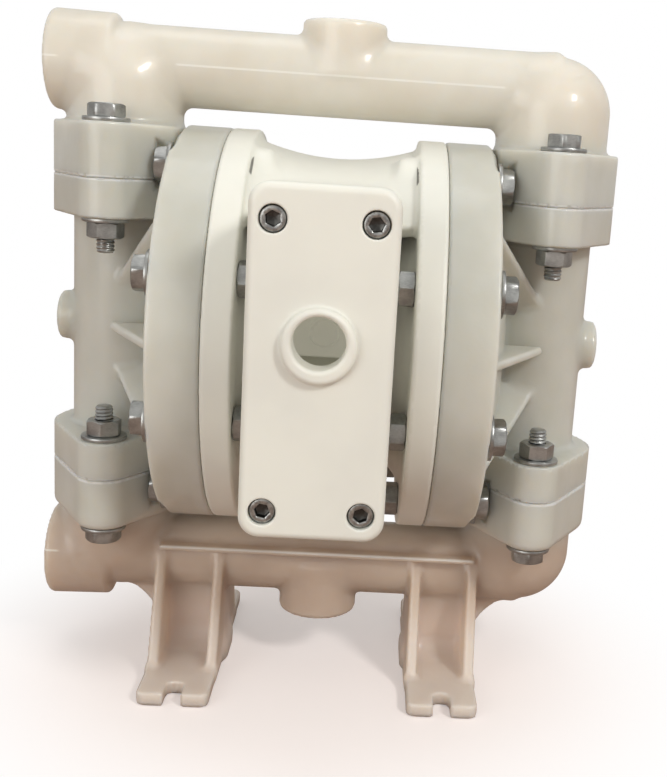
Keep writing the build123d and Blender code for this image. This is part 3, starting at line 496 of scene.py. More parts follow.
def stack(rows, closed=False, sides=SIDES):
    """Skin round Z from rows of (height, radius), from the top down. A radius of 0 closes an end."""
    flat_ends = [not closed and np.ndim(radius) == 0 and radius == 0 for _, radius in (rows[0], rows[-1])]
    top, low = (row[0] if flat else None for flat, row in zip(flat_ends, (rows[0], rows[-1])))
    rings = rows[(top is not None):len(rows) - (low is not None)]
    radius = np.array([np.broadcast_to(r, sides) for _, r in rings])
    height = np.array([h for h, _ in rings])[:, None] + np.zeros(sides)
    turn = turns(sides)
    points = np.stack([radius * np.cos(turn), radius * np.sin(turn), height], 2).reshape(-1, 3)
    bands = len(rings) if closed else len(rings) - 1
    i, j = np.meshgrid(np.arange(bands), np.arange(sides), indexing="ij")
    below, beside = (i + 1) % len(rings), (j + 1) % sides
    quads = [i * sides + j, below * sides + j, below * sides + beside, i * sides + beside]
    quads = np.stack(quads, 2).reshape(-1, 4)
    faces = [quads]
    j = np.arange(sides)
    for height, first, order in ((top, 0, (0, 1)), (low, (len(rings) - 1) * sides, (1, 0))):
        if height is not None:
            pole = np.full(sides, len(points))
            points = np.vstack([points, (0, 0, height)])
            pair = (first + j, first + (j + 1) % sides)
            faces.append(np.stack([pole, pair[order[0]], pair[order[1]]], 1))
    return points, faces


def placed(shape, spots):
    """Copies of a shape: its Z is turned to each spot's direction and it is spun about it."""
    points, faces = shape
    turned = []
    for origin, direction, spin in spots:
        z = np.array(direction, float)
        x = np.cross(z, (0, 1, 0) if abs(z[1]) < 0.5 else (0, 0, 1))
        y = np.cross(z, x)
        u = x * math.cos(spin) + y * math.sin(spin)
        turned.append(points @ np.array([u, np.cross(z, u), z]) + origin)
    count = len(points)
    offsets = np.arange(len(spots)) * count
    copies = [(face[None] + offsets[:, None, None]).reshape(-1, face.shape[1]) for face in faces]
    return np.concatenate(turned), copies


def bolt_shape(length, threaded):
    """A hexagon bolt: its head stands on Z = 0, and its shank goes down to a chamfered thread."""
    rim = FLATS / 2
    rows = [(HEAD, 0), (HEAD - 0.08, rim * 0.55), (HEAD, rim * 0.62), (HEAD, rim * 0.93)]
    for drop, limit in ((0.1, 5.45), (0.26, 5.75), (0.44, 6.05), (0.64, 6.3)):
        rows.append((HEAD - drop, hexagon(FLATS, limit)))
    rows += [(0.35, hexagon(FLATS, 6.3)), (0.1, hexagon(FLATS, 6.1)), (0, hexagon(FLATS, 5.3)), (0, BOLT)]
    rows.append((threaded - length + 0.4, BOLT))
    steps = np.arange(threaded - length, -length + 0.05, -PITCH / 7)
    rows += thread(steps, PITCH, THREAD_DEPTH, BOLT - 0.03, tip=-length)
    rows += [(-length, BOLT - 0.8), (-length, 0)]
    return stack(rows)


def nut_shape():
    """A hexagon nut on Z = 0 with both faces chamfered."""
    limits = ((0.0, 5.35), (0.14, 5.65), (0.32, 6.0), (0.55, 6.3))
    rows = [(NUT, BOLT + 0.1), (NUT - 0.02, BOLT + 0.55)]
    rows += [(NUT - rise, hexagon(FLATS, limit)) for rise, limit in limits]
    rows += [(rise, hexagon(FLATS, limit)) for rise, limit in reversed(limits)] + [(0, BOLT + 0.1)]
    return stack(rows, closed=True)


def washer_shape():
    """A flat washer on Z = 0 with its rims softened."""
    r, t, bore = WASHER, WASHER_THICK, 3.3
    rows = [(t, bore), (t, r - 0.45), (t - 0.12, r - 0.12), (t - 0.4, r)]
    rows += [(0.4, r), (0.12, r - 0.12), (0, r - 0.45), (0, bore)]
    return stack(rows, closed=True)


def cap_screw_shape():
    """A socket head screw: its head is below Z = 0 and a hexagon socket is sunk in it."""
    socket = lambda flats: hexagon(flats, 9)
    rows = [(-4.2, 0), (-3.7, socket(3.9)), (-1.6, socket(4.0)), (-1.32, socket(4.3))]
    rows += [(-1.2, 2.55), (-1.2, 3.45), (-1.3, 3.72), (-1.55, 3.9), (-1.9, 3.95)]
    rows += [(-4.8, 3.95), (-5.0, 3.8), (-5.0, 2.4), (-26.4, 2.4), (-27.0, 1.8), (-27.0, 0)]
    return stack(rows)


def cap_plug_shape():
    """A screwed plug on Z = 0: a round plug below a hexagon head with chamfered corners."""
    rows = [(5.0, 0), (4.85, 6.5), (5.0, 7.2), (5.0, 10.2)]
    limits = ((4.8, 10.9), (4.4, 11.7), (4.0, 12.4), (3.7, 12.6), (0.5, 12.6), (0.15, 12.2), (0.05, 11.9))
    rows += [(height, hexagon(22.0, limit)) for height, limit in limits]
    rows += [(0.0, 11.9), (-7.6, 11.95), (-8.0, 11.4), (-8.0, 0)]
    return stack(rows)


def port_thread_shape(length, pitch, crest, root, outer):
    """A pipe thread's lining on Z from 0 down: a tube whose bore is a screw thread."""
    sides = 72
    steps = np.arange(-0.5, -length + 0.3, -pitch / 7)
    rows = [(-0.5, outer), (-length, outer), (-length, root)]
    bore = thread(steps[::-1], pitch, root - crest, root, sides)
    rows += [(height, crest + root - ring) for height, ring in bore]
    return stack(rows, closed=True, sides=sides)


def diaphragm_part(side, turn):
    """A 45 degree part of a diaphragm: its section has a rolled ring, x rising with a squared sine."""
    radius = np.concatenate([[5.05, 20], np.linspace(30, 52, 19), [57.9]])
    rise = 3.4 * np.sin(np.clip((radius - 30) / 22, 0, 1) * math.pi) ** 2
    half = 1.45
    x = np.concatenate([PLANE - half + rise, (PLANE + half + rise)[::-1]])
    radius = np.concatenate([radius, radius[::-1]])
    angle = turn + np.linspace(0, math.pi / 4, 13)[:, None]
    points = np.stack([side * x + 0 * angle, radius * np.cos(angle), SHAFT + radius * np.sin(angle)], 2)
    n, last = len(x), len(angle) - 1
    i, j = np.meshgrid(np.arange(last), np.arange(n), indexing="ij")
    beside = (j + 1) % n
    quads = [i * n + j, i * n + beside, (i + 1) * n + beside, (i + 1) * n + j]
    caps = np.arange(n)
    faces = [np.stack(quads, 2).reshape(-1, 4), caps[None, ::-1], caps[None] + last * n]
    if side > 0:
        faces = [face[:, ::-1] for face in faces]
    return points.reshape(-1, 3), faces


# Meshes in the scene

def piece(name, shape, slot, look=None, hides=(), body="pump_body", sharp=32):
    """Puts a shape in millimetres into the scene; look names a finish other than the slot's own."""
    points, faces = shape[0] * MM, shape[1]
    sizes = np.concatenate([np.full(len(face), face.shape[1]) for face in faces])
    loops = np.concatenate([face.ravel() for face in faces]).astype(np.int32)
    mesh = bpy.data.meshes.new(name)
    mesh.vertices.add(len(points))
    mesh.vertices.foreach_set("co", points.astype(np.float32).ravel())
    mesh.loops.add(len(loops))
    mesh.loops.foreach_set("vertex_index", loops)
    mesh.polygons.add(len(sizes))
    mesh.polygons.foreach_set("loop_start", (np.cumsum(sizes) - sizes).astype(np.int32))
    mesh.polygons.foreach_set("use_smooth", np.ones(len(sizes), bool))
    mesh.update(calc_edges=True)
    mesh.validate()
    if len(shape) > 2:
        normals = shape[2] / np.linalg.norm(shape[2], axis=1)[:, None]
        mesh.normals_split_custom_set_from_vertices(normals)
    else:
        mesh.set_sharp_from_angle(angle=math.radians(sharp))
    mesh.materials.append(finish_of(look or slot))
    item = bpy.data.objects.new(name, mesh)
    bpy.context.scene.collection.objects.link(item)
    if body:
        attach(item, body)
    if hides:
        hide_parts(*hides)
    return item


def span(node):
    """Corners of a frame node in millimetres."""
    low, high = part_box(node)
    return np.array(low) * 1000, np.array(high) * 1000


def moulding(name, form, step, slot, look=None):
    """Skins a distance inside a frame node's box and puts it in that node's place."""
    piece(name + "_moulding", skin(form, *span(name), step), slot, look, [name])


def mirrored(shape):
    """A skin on the other side of the middle."""
    points, faces, normals = shape
    flip = np.array((-1, 1, 1))
    return points * flip, [face[:, ::-1] for face in faces], normals * flip


def corner_spots(across, half, y, middle, way, first, step):
    """Places of four screws round a middle height; each is spun a step further than the last."""
    return [
        ((side * across, y, middle + level * half), (0, way, 0), first + number * step)
        for number, (side, level) in enumerate(CORNERS)
    ]


def hardware(joint, node, bolt, heads, washers, nuts):
    """Puts the bolts, washers and nuts of a kind of joint in the place of their nodes."""
    shapes = ("bolts", bolt, heads), ("washers", washer_shape(), washers), ("nuts", nut_shape(), nuts)
    for kind, shape, spots in shapes:
        piece(f"{joint}_{kind}", placed(shape, spots), "stainless_steel", hides=[f"{node}_{kind}"])


# Shader nodes

def add_node(tree, kind, inputs=None, **settings):
    """Adds a shader node: settings first, then the values or links of its sockets."""
    node = tree.nodes.new("ShaderNode" + kind)
    for name, value in settings.items():
        setattr(node, name, value)
    for name, value in (inputs or {}).items():
        socket = node.inputs[name]
        if isinstance(value, Value):
            value = value.socket
        if isinstance(value, bpy.types.NodeSocket):
            tree.links.new(value, socket)
        elif socket.type == "RGBA":
            socket.default_value = (*value[:3], 1)
        else:
            socket.default_value = value
    return node


class Value:
    """A socket that takes part in ordinary arithmetic."""

    def __init__(self, finish, socket):
        self.finish, self.socket = finish, socket

    def maths(self, operation, *inputs):
        node = self.finish.node("Math", dict(enumerate(inputs)), operation=operation)
        return Value(self.finish, node.outputs[0])

    def __add__(self, other):
        return self.maths("ADD", self, other)

    def __sub__(self, other):
        return self.maths("SUBTRACT", self, other)

    def __mul__(self, other):
        return self.maths("MULTIPLY", self, other)

    def __truediv__(self, other):
        return self.maths("DIVIDE", self, other)

    def __pow__(self, other):
        return self.maths("POWER", self, other)

    def __abs__(self):
        return self.maths("ABSOLUTE", self)

    __radd__, __rmul__ = __add__, __mul__

    def between(self, low, high):
        """0 below low, 1 above high, and a smooth rise between them."""
        values = {"Value": self, "From Min": low, "From Max": high}
        node = self.finish.node("MapRange", values, interpolation_type="SMOOTHSTEP")
        return Value(self.finish, node.outputs[0])


class Finish:
    """A procedural material on object coordinates, in metres."""

    def __init__(self, name):
        self.material = bpy.data.materials.new(name)
        self.material.use_nodes = True
        self.tree = self.material.node_tree
        self.tree.nodes.clear()
        self.place = self.node("TexCoord").outputs["Object"]
        parts = self.node("SeparateXYZ", {0: self.place})
        self.x, self.y, self.z = (Value(self, socket) for socket in parts.outputs)

    def node(self, kind, inputs=None, **settings):
        """Adds a node to the material."""
        return add_node(self.tree, kind, inputs, **settings)

    def noise(self, scale, detail=2.0, roughness=0.5, stretch=None):
        """Noise with features of one over scale metres."""
        place = self.place
        if stretch:
            place = self.node("Mapping", {"Vector": place, "Scale": stretch}).outputs[0]
        inputs = {"Vector": place, "Scale": scale, "Detail": detail, "Roughness": roughness}
        return Value(self, self.node("TexNoise", inputs).outputs[0])

    def mix(self, share, first, second):
        """A colour between two colours."""
        inputs = {0: share, 6: first, 7: second}
        return self.node("Mix", inputs, data_type="RGBA").outputs[2]

    def bump(self, height, distance, strength=1.0):
        """A bumped normal; height is 0 to 1 and distance is its depth in metres."""
        inputs = {"Height": height, "Distance": distance, "Strength": strength}
        return self.node("Bump", inputs).outputs[0]

    def shade(self, **inputs):
        """The surface, from socket names with underscores."""
        named = {name.replace("_", " "): value for name, value in inputs.items()}
        shader = self.node("BsdfPrincipled", named)
        self.node("OutputMaterial", {"Surface": shader.outputs[0]})
        return self.material


# Painted highlights: thin pale lines on parting lines and edges, each by height, x start, x end and the y it
# is in front of
TOP_HIGHLIGHT_LINES = ((0.224, -0.01, 0.0585, -0.005), (0.224, 0.0965, 0.2, -0.005))
LOW_HIGHLIGHT_LINES = ((0.0445, 0.0965, 0.2, -0.005), (0.0486, -0.01, 0.0605, -0.0165))
# Heights where a manifold's own tone begins: lighter as painted light on the top one, darker and pink brown
# as painted shade and floor reflection on the bottom one
TOP_LIT_ENDS, LOW_SHADED_ENDS = (0.197, 0.214), (0.068, 0.050)
PLASTIC_IOR = 1.49


def natural_finish(name, light, deep, lines=(), ends=None):
    """Natural translucent plastic: clouded tone, a satin skin with flow waves and fine dust.

    Parting lines and sharp edges get thin pale lines of painted highlight: each has its height, the x where
    it starts and ends and the y it is in front of. Flange joints get a pale line of painted highlight too,
    where light gathers. A manifold takes the chambers' tone at its flanges: ends are the heights where that
    tone ends and its own begins. Its own tone is painted light and shade: lighter on the top manifold, darker
    and pink brown on the bottom one as painted shade and floor reflection, whose feet are lighter again as
    painted light from the floor.
    """
    finish = Finish(name)
    across = abs(finish.x)
    cloud = finish.noise(24, 3, 0.55)
    flow = finish.noise(70, 2, 0.5, (1, 1, 0.45))
    dust = finish.noise(850, 3, 0.6)
    tone = (cloud * 0.75 + flow * 0.25).between(0.35, 0.66)
    colour = finish.mix(tone, deep, light)
    # Painted light and shade: past its flanges a manifold takes its own tone, lighter on the top one, darker
    # and pink brown on the bottom one
    if ends is not None:
        side = finish.mix(tone, colours().natural_side_deep, colours().natural_side)
        colour = finish.mix(finish.z.between(*ends), side, colour)
        # Painted light: the feet are lighter and pinker, standing in for floor light coming through them
        feet = finish.z.between(0.036, 0.016) * across.between(0.024, 0.034)
        colour = finish.mix(feet * 0.65, colour, (0.86, 0.75, 0.68))
    specks = dust.between(0.7, 0.8)
    colour = finish.mix(specks * 0.22, colour, tuple(value * 0.55 for value in deep))
    # Painted highlight: a thin pale line on each parting line and sharp edge, standing in for the light it
    # catches
    for height, start, end, front in lines:
        thin = abs(finish.z - height).between(0.0005, 0.0002) * finish.y.between(front, front - 0.001)
        thin = thin * across.between(start, start + 0.002) * across.between(end, end - 0.002)
        colour = finish.mix(thin * 0.6, colour, (0.95, 0.92, 0.86))
    # Painted highlight: a pale line at the flange joints, where light gathers, lifting the dark line between
    # the rounded edges
    joint = abs(abs(finish.z - SHAFT * MM) - HALF * MM).between(0.0012, 0.0004)
    colour = finish.mix(joint * across.between(0.0563, 0.0573) * 0.7, colour, (0.96, 0.94, 0.89))
    rough = 0.27 + finish.noise(45, 2) * 0.16 + dust * 0.06
    wave = finish.noise(95, 2, 0.4) * 0.8 + dust * 0.06
    return finish.shade(
        Base_Color=colour, Roughness=rough, Normal=finish.bump(wave, 0.0009, 0.55), IOR=PLASTIC_IOR,
        Coat_Weight=0.35, Coat_Roughness=0.10,
        Subsurface_Weight=0.8, Subsurface_Radius=(1.0, 0.85, 0.68), Subsurface_Scale=0.011,
    )


def white_finish(name, light, shade):
    """White moulded plastic: an even tone, slightly greyer in patches, with a fine satin grain.

    A painted glow, emission on the wall of the exhaust pocket, stands in for light that comes through it,
    and a dark slit of painted shadow shows where each nut pocket meets the roof beside its ring.
    """
    finish = Finish(name)
    cloud = finish.noise(30, 3, 0.5)
    grain = finish.noise(1500, 2, 0.6)
    marks = finish.noise(300, 4, 0.65).between(0.72, 0.82)
    colour = finish.mix(cloud.between(0.35, 0.7), light, shade)
    colour = finish.mix(marks * 0.2, colour, (0.45, 0.40, 0.33))
    x, z = abs(finish.x), finish.z - SHAFT * MM
    away = (z * z + finish.y * finish.y) ** 0.5
    turned = abs(abs(finish.y) / abs(z) - 0.57)
    # Painted shadow: a near black slit where each nut pocket meets the roof beside its ring; the roof stays
    # closed there
    slit = abs(x - 0.0280).between(0.0005, 0.0002) * away.between(0.0630, 0.0640)
    slit = slit * turned.between(0.125, 0.095) * z.between(0.030, 0.035) * away.between(0.0702, 0.0698)
    colour = finish.mix(slit * 0.85, colour, (0.05, 0.045, 0.04))
    # Painted glow: emission on the wall of the exhaust pocket stands in for light coming through it
    wall = x.between(0.0139, 0.0137) * abs(finish.z - PLATE_MIDDLE * MM).between(0.0305, 0.0302)
    hollow = finish.y.between(-0.0875, -0.0835) * finish.y.between(-0.0565, -0.0590) * wall
    painted_glow = finish.mix(hollow, (0, 0, 0), (0.10, 0.095, 0.082))
    wave = finish.noise(60, 2, 0.4) * 0.7 + grain * 0.05
    return finish.shade(
        Base_Color=colour, Roughness=0.36 + cloud * 0.14, Normal=finish.bump(wave, 0.0006, 0.5),
        IOR=PLASTIC_IOR, Emission_Color=painted_glow, Emission_Strength=1.0,
        Subsurface_Weight=0.12, Subsurface_Radius=(1.0, 0.85, 0.65), Subsurface_Scale=0.003,
    )


def steel_finish(name, bright, dark):
    """Plain stainless steel: turning marks, rolled streaks and stains in patches."""
    finish = Finish(name)
    streak = finish.noise(900, 3, 0.6, (1, 1, 6))
    stain = finish.noise(160, 4, 0.6)
    colour = finish.mix((stain * 0.7 + streak * 0.3).between(0.3, 0.7), dark, bright)
    rough = 0.24 + streak * 0.16 + stain * 0.1
    normal = finish.bump(streak, 0.00004, 0.6)
    return finish.shade(Base_Color=colour, Metallic=1.0, Roughness=rough, Normal=normal)


def rubber_finish(name, colour, other):
    """Moulded rubber: matt, with a fine pebble and faint bloom."""
    finish = Finish(name)
    bloom = finish.noise(120, 4, 0.6)
    pebble = finish.noise(1800, 2, 0.5)
    tone = finish.mix(bloom.between(0.4, 0.75), colour, other)
    normal = finish.bump(pebble, 0.00008, 0.7)
    return finish.shade(Base_Color=tone, Roughness=0.62 + bloom * 0.2, Normal=normal)


def socket_steel_finish(name, bright, dark):
    """Steel of the plate screws: their sockets and the ring round each head are darkened with painted shade.
    """
    finish = Finish(name)
    across, rise, half = (value * MM for value in PLATE_SCREWS)
    up = abs(abs(finish.z - (PLATE_MIDDLE * MM + rise)) - half)
    side = abs(abs(finish.x) - across)
    away = (up * up + side * side) ** 0.5
    # Painted shade: the hex socket and a ring at the rim of each head, beside the counterbore wall, go near
    # black
    deep = finish.y.between(-0.0934, -0.0926)
    hollow = away.between(0.0028, 0.0022) * deep
    rim = away.between(0.0036, 0.0040)
    streak = finish.noise(700, 3, 0.6)
    colour = finish.mix(streak.between(0.3, 0.7), dark, bright)
    colour = finish.mix(hollow * 0.85 + rim * 0.6, colour, (0.03, 0.028, 0.025))
    rough = 0.22 + streak * 0.2
    normal = finish.bump(streak, 0.00004, 0.6)
    return finish.shade(Base_Color=colour, Metallic=1.0, Roughness=rough, Normal=normal)


def plain_finish(name, light, dark, metallic=0.0, roughness=0.4, depth=0.0001):
    """Turned or cast working parts: fine grain and a patchy tone."""
    finish = Finish(name)
    patch = finish.noise(90, 3, 0.5)
    grain = finish.noise(1400, 3, 0.6)
    colour = finish.mix(patch.between(0.3, 0.7), dark, light)
    rough, normal = roughness + patch * 0.12, finish.bump(grain, depth, 0.6)
    return finish.shade(Base_Color=colour, Metallic=metallic, Roughness=rough, Normal=normal)


def colours():
    """The colours group of the scene."""
    return bpy.context.scene.pump_colours


def sizes():
    """The sizes group of the scene."""
    return bpy.context.scene.pump_sizes


def finish_of(slot):
    """The material of a slot, made when it is first asked for."""
    name = "pump_" + slot
    if name in bpy.data.materials:
        return bpy.data.materials[name]
    tint = colours()
    side = (natural_finish, tint.natural_side, tint.natural_side_deep)
    makers = {
        # The top and bottom manifolds use lit and shaded copies of the chambers' natural plastic: painted
        # light, and painted shade with floor reflection
        "top_natural": (natural_finish, tint.natural_top_lit, tint.natural_top_lit_deep, TOP_HIGHLIGHT_LINES, TOP_LIT_ENDS),
        "side_natural": side,
        "low_natural": (natural_finish, tint.natural_low_shaded, tint.natural_low_shaded_deep, LOW_HIGHLIGHT_LINES, LOW_SHADED_ENDS),
        "natural_moulding": side,
        "white_moulding": (white_finish, tint.white, tint.white_shade),
        "stainless_steel": (steel_finish, tint.steel, tint.steel_dark),
        "socket_steel": (socket_steel_finish, tint.steel, tint.steel_dark),
        "black_rubber": (rubber_finish, (0.02, 0.02, 0.02), (0.05, 0.05, 0.05)),
        "diaphragm_rubber": (rubber_finish, (0.07, 0.07, 0.07), (0.12, 0.12, 0.11)),
        "grey_acetal": (plain_finish, (0.45, 0.45, 0.44), (0.36, 0.36, 0.36)),
        "grey_casting": (plain_finish, (0.6, 0.6, 0.6), (0.45, 0.45, 0.46), 1.0, 0.42, 0.0003),
        "white_ball": (plain_finish, (0.85, 0.85, 0.82), (0.76, 0.75, 0.71), 0.0, 0.25),
    }
    make, *values = makers[slot]
    return make(name, *values)


# Groups of values that a user would change

def colour_property(name, description, default):
    """A linear colour value."""
    return bpy.props.FloatVectorProperty(
        name=name, description=description, default=default, subtype="COLOR", min=0, max=1)


def cell_property(name, skins, default, low=0.8):
    """A cell of skins in millimetres."""
    text = f"Cell of {skins} in millimetres"
    return bpy.props.FloatProperty(name=name, description=text, default=default, min=low, max=4)


class PumpColours(bpy.types.PropertyGroup):
    """Colours of the finishes."""
    # The top manifold's colours are lighter as painted light; the bottom manifold's are darker and pink brown
    # as painted shade and floor reflection
    natural_top_lit: colour_property("Top manifold", "Its natural plastic", (0.78, 0.74, 0.66))
    natural_top_lit_deep: colour_property("Top manifold, deep", "Its darker clouds", (0.71, 0.66, 0.57))
    natural_side: colour_property("Chambers", "Their natural plastic", (0.64, 0.64, 0.59))
    natural_side_deep: colour_property("Chambers, deep", "Their darker clouds", (0.57, 0.57, 0.51))
    natural_low_shaded: colour_property("Bottom manifold", "Its natural plastic", (0.63, 0.52, 0.43))
    natural_low_shaded_deep: colour_property("Bottom manifold, deep", "Its darker clouds", (0.54, 0.43, 0.35))
    white: colour_property("White moulding", "Centre block, plate and air valve", (0.84, 0.84, 0.77))
    white_shade: colour_property("White moulding, shade", "Its greyer patches", (0.79, 0.79, 0.73))
    steel: colour_property("Steel", "Bright part of the fasteners", (0.51, 0.52, 0.51))
    steel_dark: colour_property("Steel, dark", "Stained part of the fasteners", (0.27, 0.275, 0.275))


class PumpSizes(bpy.types.PropertyGroup):
    """Fineness of the skins."""
    manifold_step: cell_property("Manifold cell", "the top manifold's skin", 1.15)
    inlet_step: cell_property("Inlet manifold cell", "the bottom manifold's skin", 1.3)
    chamber_step: cell_property("Chamber cell", "the liquid chambers' skins", 1.15)
    block_step: cell_property("Block cell", "the centre block's skin", 1.25)
    plate_step: cell_property("Plate cell", "the exhaust plate's skin", 0.55, 0.4)
    valve_step: cell_property("Valve cell", "the air valve block's skin", 1.0)


# Operators

class PUMP_OT_discharge_manifold(bpy.types.Operator):
    """Skins the top manifold"""
    bl_idname = "pump.discharge_manifold"
    bl_label = "Discharge manifold"

    def execute(self, context):
        step = sizes().manifold_step
        moulding("discharge_manifold", discharge_form, step, "natural_moulding", "top_natural")
        return {"FINISHED"}


class PUMP_OT_inlet_manifold(bpy.types.Operator):
    """Skins the bottom manifold with its feet"""
    bl_idname = "pump.inlet_manifold"
    bl_label = "Inlet manifold"

    def execute(self, context):
        moulding("inlet_manifold", inlet_form, sizes().inlet_step, "natural_moulding", "low_natural")
        return {"FINISHED"}


class PUMP_OT_liquid_chambers(bpy.types.Operator):
    """Skins the right liquid chamber and mirrors it for the left"""
    bl_idname = "pump.liquid_chambers"
    bl_label = "Liquid chambers"

    def execute(self, context):
        right = skin(chamber_form, *span("right_liquid_chamber"), sizes().chamber_step)
        for node, shape in (("right_liquid_chamber", right), ("left_liquid_chamber", mirrored(right))):
            piece(node + "_moulding", shape, "natural_moulding", "side_natural", [node])
        return {"FINISHED"}


class PUMP_OT_centre_block(bpy.types.Operator):
    """Skins the white centre block"""
    bl_idname = "pump.centre_block"
    bl_label = "Centre block"

    def execute(self, context):
        moulding("centre_block", centre_form, sizes().block_step, "white_moulding")
        return {"FINISHED"}


class PUMP_OT_exhaust_plate(bpy.types.Operator):
    """Skins the exhaust plate and makes its socket head screws"""
    bl_idname = "pump.exhaust_plate"
    bl_label = "Exhaust plate"

    def execute(self, context):
        moulding("exhaust_plate", plate_form, sizes().plate_step, "white_moulding")
        across, rise, half = PLATE_SCREWS
        spots = corner_spots(across, half, 0.2 - PLATE_FRONT, PLATE_MIDDLE + rise, -1, 0.35, 0.8)
        screws = placed(cap_screw_shape(), spots)
        piece("exhaust_plate_screws", screws, "stainless_steel", "socket_steel", ["plate_screws"])
        return {"FINISHED"}


class PUMP_OT_air_valve(bpy.types.Operator):
    """Skins the air valve block and makes its plugs and screws"""
    bl_idname = "pump.air_valve"
    bl_label = "Air valve"

    def execute(self, context):
        moulding("air_valve_body", valve_form, sizes().valve_step, "white_moulding")
        for name, way in (("upper_valve_cap", 1), ("lower_valve_cap", -1)):
            spot = ((0, VALVE_SPOOL, SHAFT + way * VALVE[1]), (0, 0, way), 0.0)
            piece(name + "_plug", placed(cap_plug_shape(), [spot]), "white_moulding", hides=[name])
        spots = corner_spots(*VALVE_SCREWS, VALVE_BACK, SHAFT, 1, 0.0, 0.7)
        screws = placed(bolt_shape(46, 12), spots)
        piece("air_valve_screws", screws, "stainless_steel", hides=["valve_screws"])
        return {"FINISHED"}


class PUMP_OT_joint_hardware(bpy.types.Operator):
    """Makes the bolts, washers and nuts of the rims and the manifold joints"""
    bl_idname = "pump.joint_hardware"
    bl_label = "Joint hardware"

    def execute(self, context):
        spin = np.random.default_rng(7).uniform(0, math.pi / 3, 64)
        heads, washers, nuts = [], [], []
        for joint, out in ((UPPER_JOINT, 1), (LOWER_JOINT, -1)):
            up, down = (0, 0, out), (0, 0, -out)
            seat, under = joint + out * MANIFOLD_FLANGE, joint - out * CHAMBER_FLANGE
            for side, way in CORNERS:
                x, y, count = side * COLUMN, way * BOLT_Y, len(heads)
                heads.append(((x, y, seat + out * WASHER_THICK), up, spin[count]))
                washers += [((x, y, seat), up, 0), ((x, y, under), down, 0)]
                nuts.append(((x, y, under - out * WASHER_THICK), down, spin[count + 20]))
        length = WASHER_THICK * 2 + MANIFOLD_FLANGE + CHAMBER_FLANGE + NUT + 5.0
        hardware("joint", "manifold", bolt_shape(length, 13), heads, washers, nuts)
        heads, washers, nuts = [], [], []
        for side in (-1, 1):
            for number in range(8):
                turn = (number + 0.5) * math.pi / 4
                y, z = BOLT_CIRCLE * math.cos(turn), SHAFT + BOLT_CIRCLE * math.sin(turn)
                heads.append(((side * (RIM_FACE + WASHER_THICK), y, z), (side, 0, 0), spin[number + 8]))
                washers.append(((side * RIM_FACE, y, z), (side, 0, 0), 0))
                nuts.append(((side * RING_FACE, y, z), (-side, 0, 0), spin[number + 18]))
        length = RIM_FACE + WASHER_THICK - RING_FACE + NUT + 3.0
        hardware("rim", "chamber", bolt_shape(length, 5), heads, washers, nuts)
        return {"FINISHED"}


class PUMP_OT_port_threads(bpy.types.Operator):
    """Lines the side ports and the air port with their pipe threads"""
    bl_idname = "pump.port_threads"
    bl_label = "Port threads"

    def execute(self, context):
        wide = port_thread_shape(*PIPE_THREAD)
        small = port_thread_shape(*AIR_THREAD)
        low, high, left = LOWER_JOINT - PORT_LINE, UPPER_JOINT + PORT_LINE, (-1, 0, 0)
        for name, shape, place, way, slot, look in (
            ("inlet", wide, (-SOCKET_END, 0, low), left, "natural_moulding", "low_natural"),
            ("discharge", wide, (-SOCKET_END, 0, high), left, "natural_moulding", "top_natural"),
            ("air", small, (0, VALVE_BACK + AIR_BOSS, SHAFT), (0, 1, 0), "white_moulding", None),
        ):
            piece(name + "_port_thread", placed(shape, [(place, way, 0.0)]), slot, look, sharp=50)
        return {"FINISHED"}


class PUMP_OT_diaphragms(bpy.types.Operator):
    """Makes both diaphragms in parts between the rims and the shaft"""
    bl_idname = "pump.diaphragms"
    bl_label = "Diaphragms"

    def execute(self, context):
        for side, label in ((-1, "left"), (1, "right")):
            for number in range(8):
                turn = number * math.pi / 4
                hides = [f"{label}_diaphragm"] if number == 0 else []
                name = f"{label}_diaphragm_part_{number + 1}"
                item = piece(name, diaphragm_part(side, turn), "diaphragm_rubber", hides=hides, body=None)
                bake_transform(item)
        return {"FINISHED"}


class PUMP_OT_working_parts(bpy.types.Operator):
    """Gives the frame's own working parts their finishes"""
    bl_idname = "pump.working_parts"
    bl_label = "Working parts"

    def execute(self, context):
        slots = {row["node"]: row["material_slot"] for row in frame["record"]["subparts"]}
        for name, item in frame["nodes"].items():
            item.data.materials.clear()
            item.data.materials.append(finish_of(slots[name]))
        return {"FINISHED"}


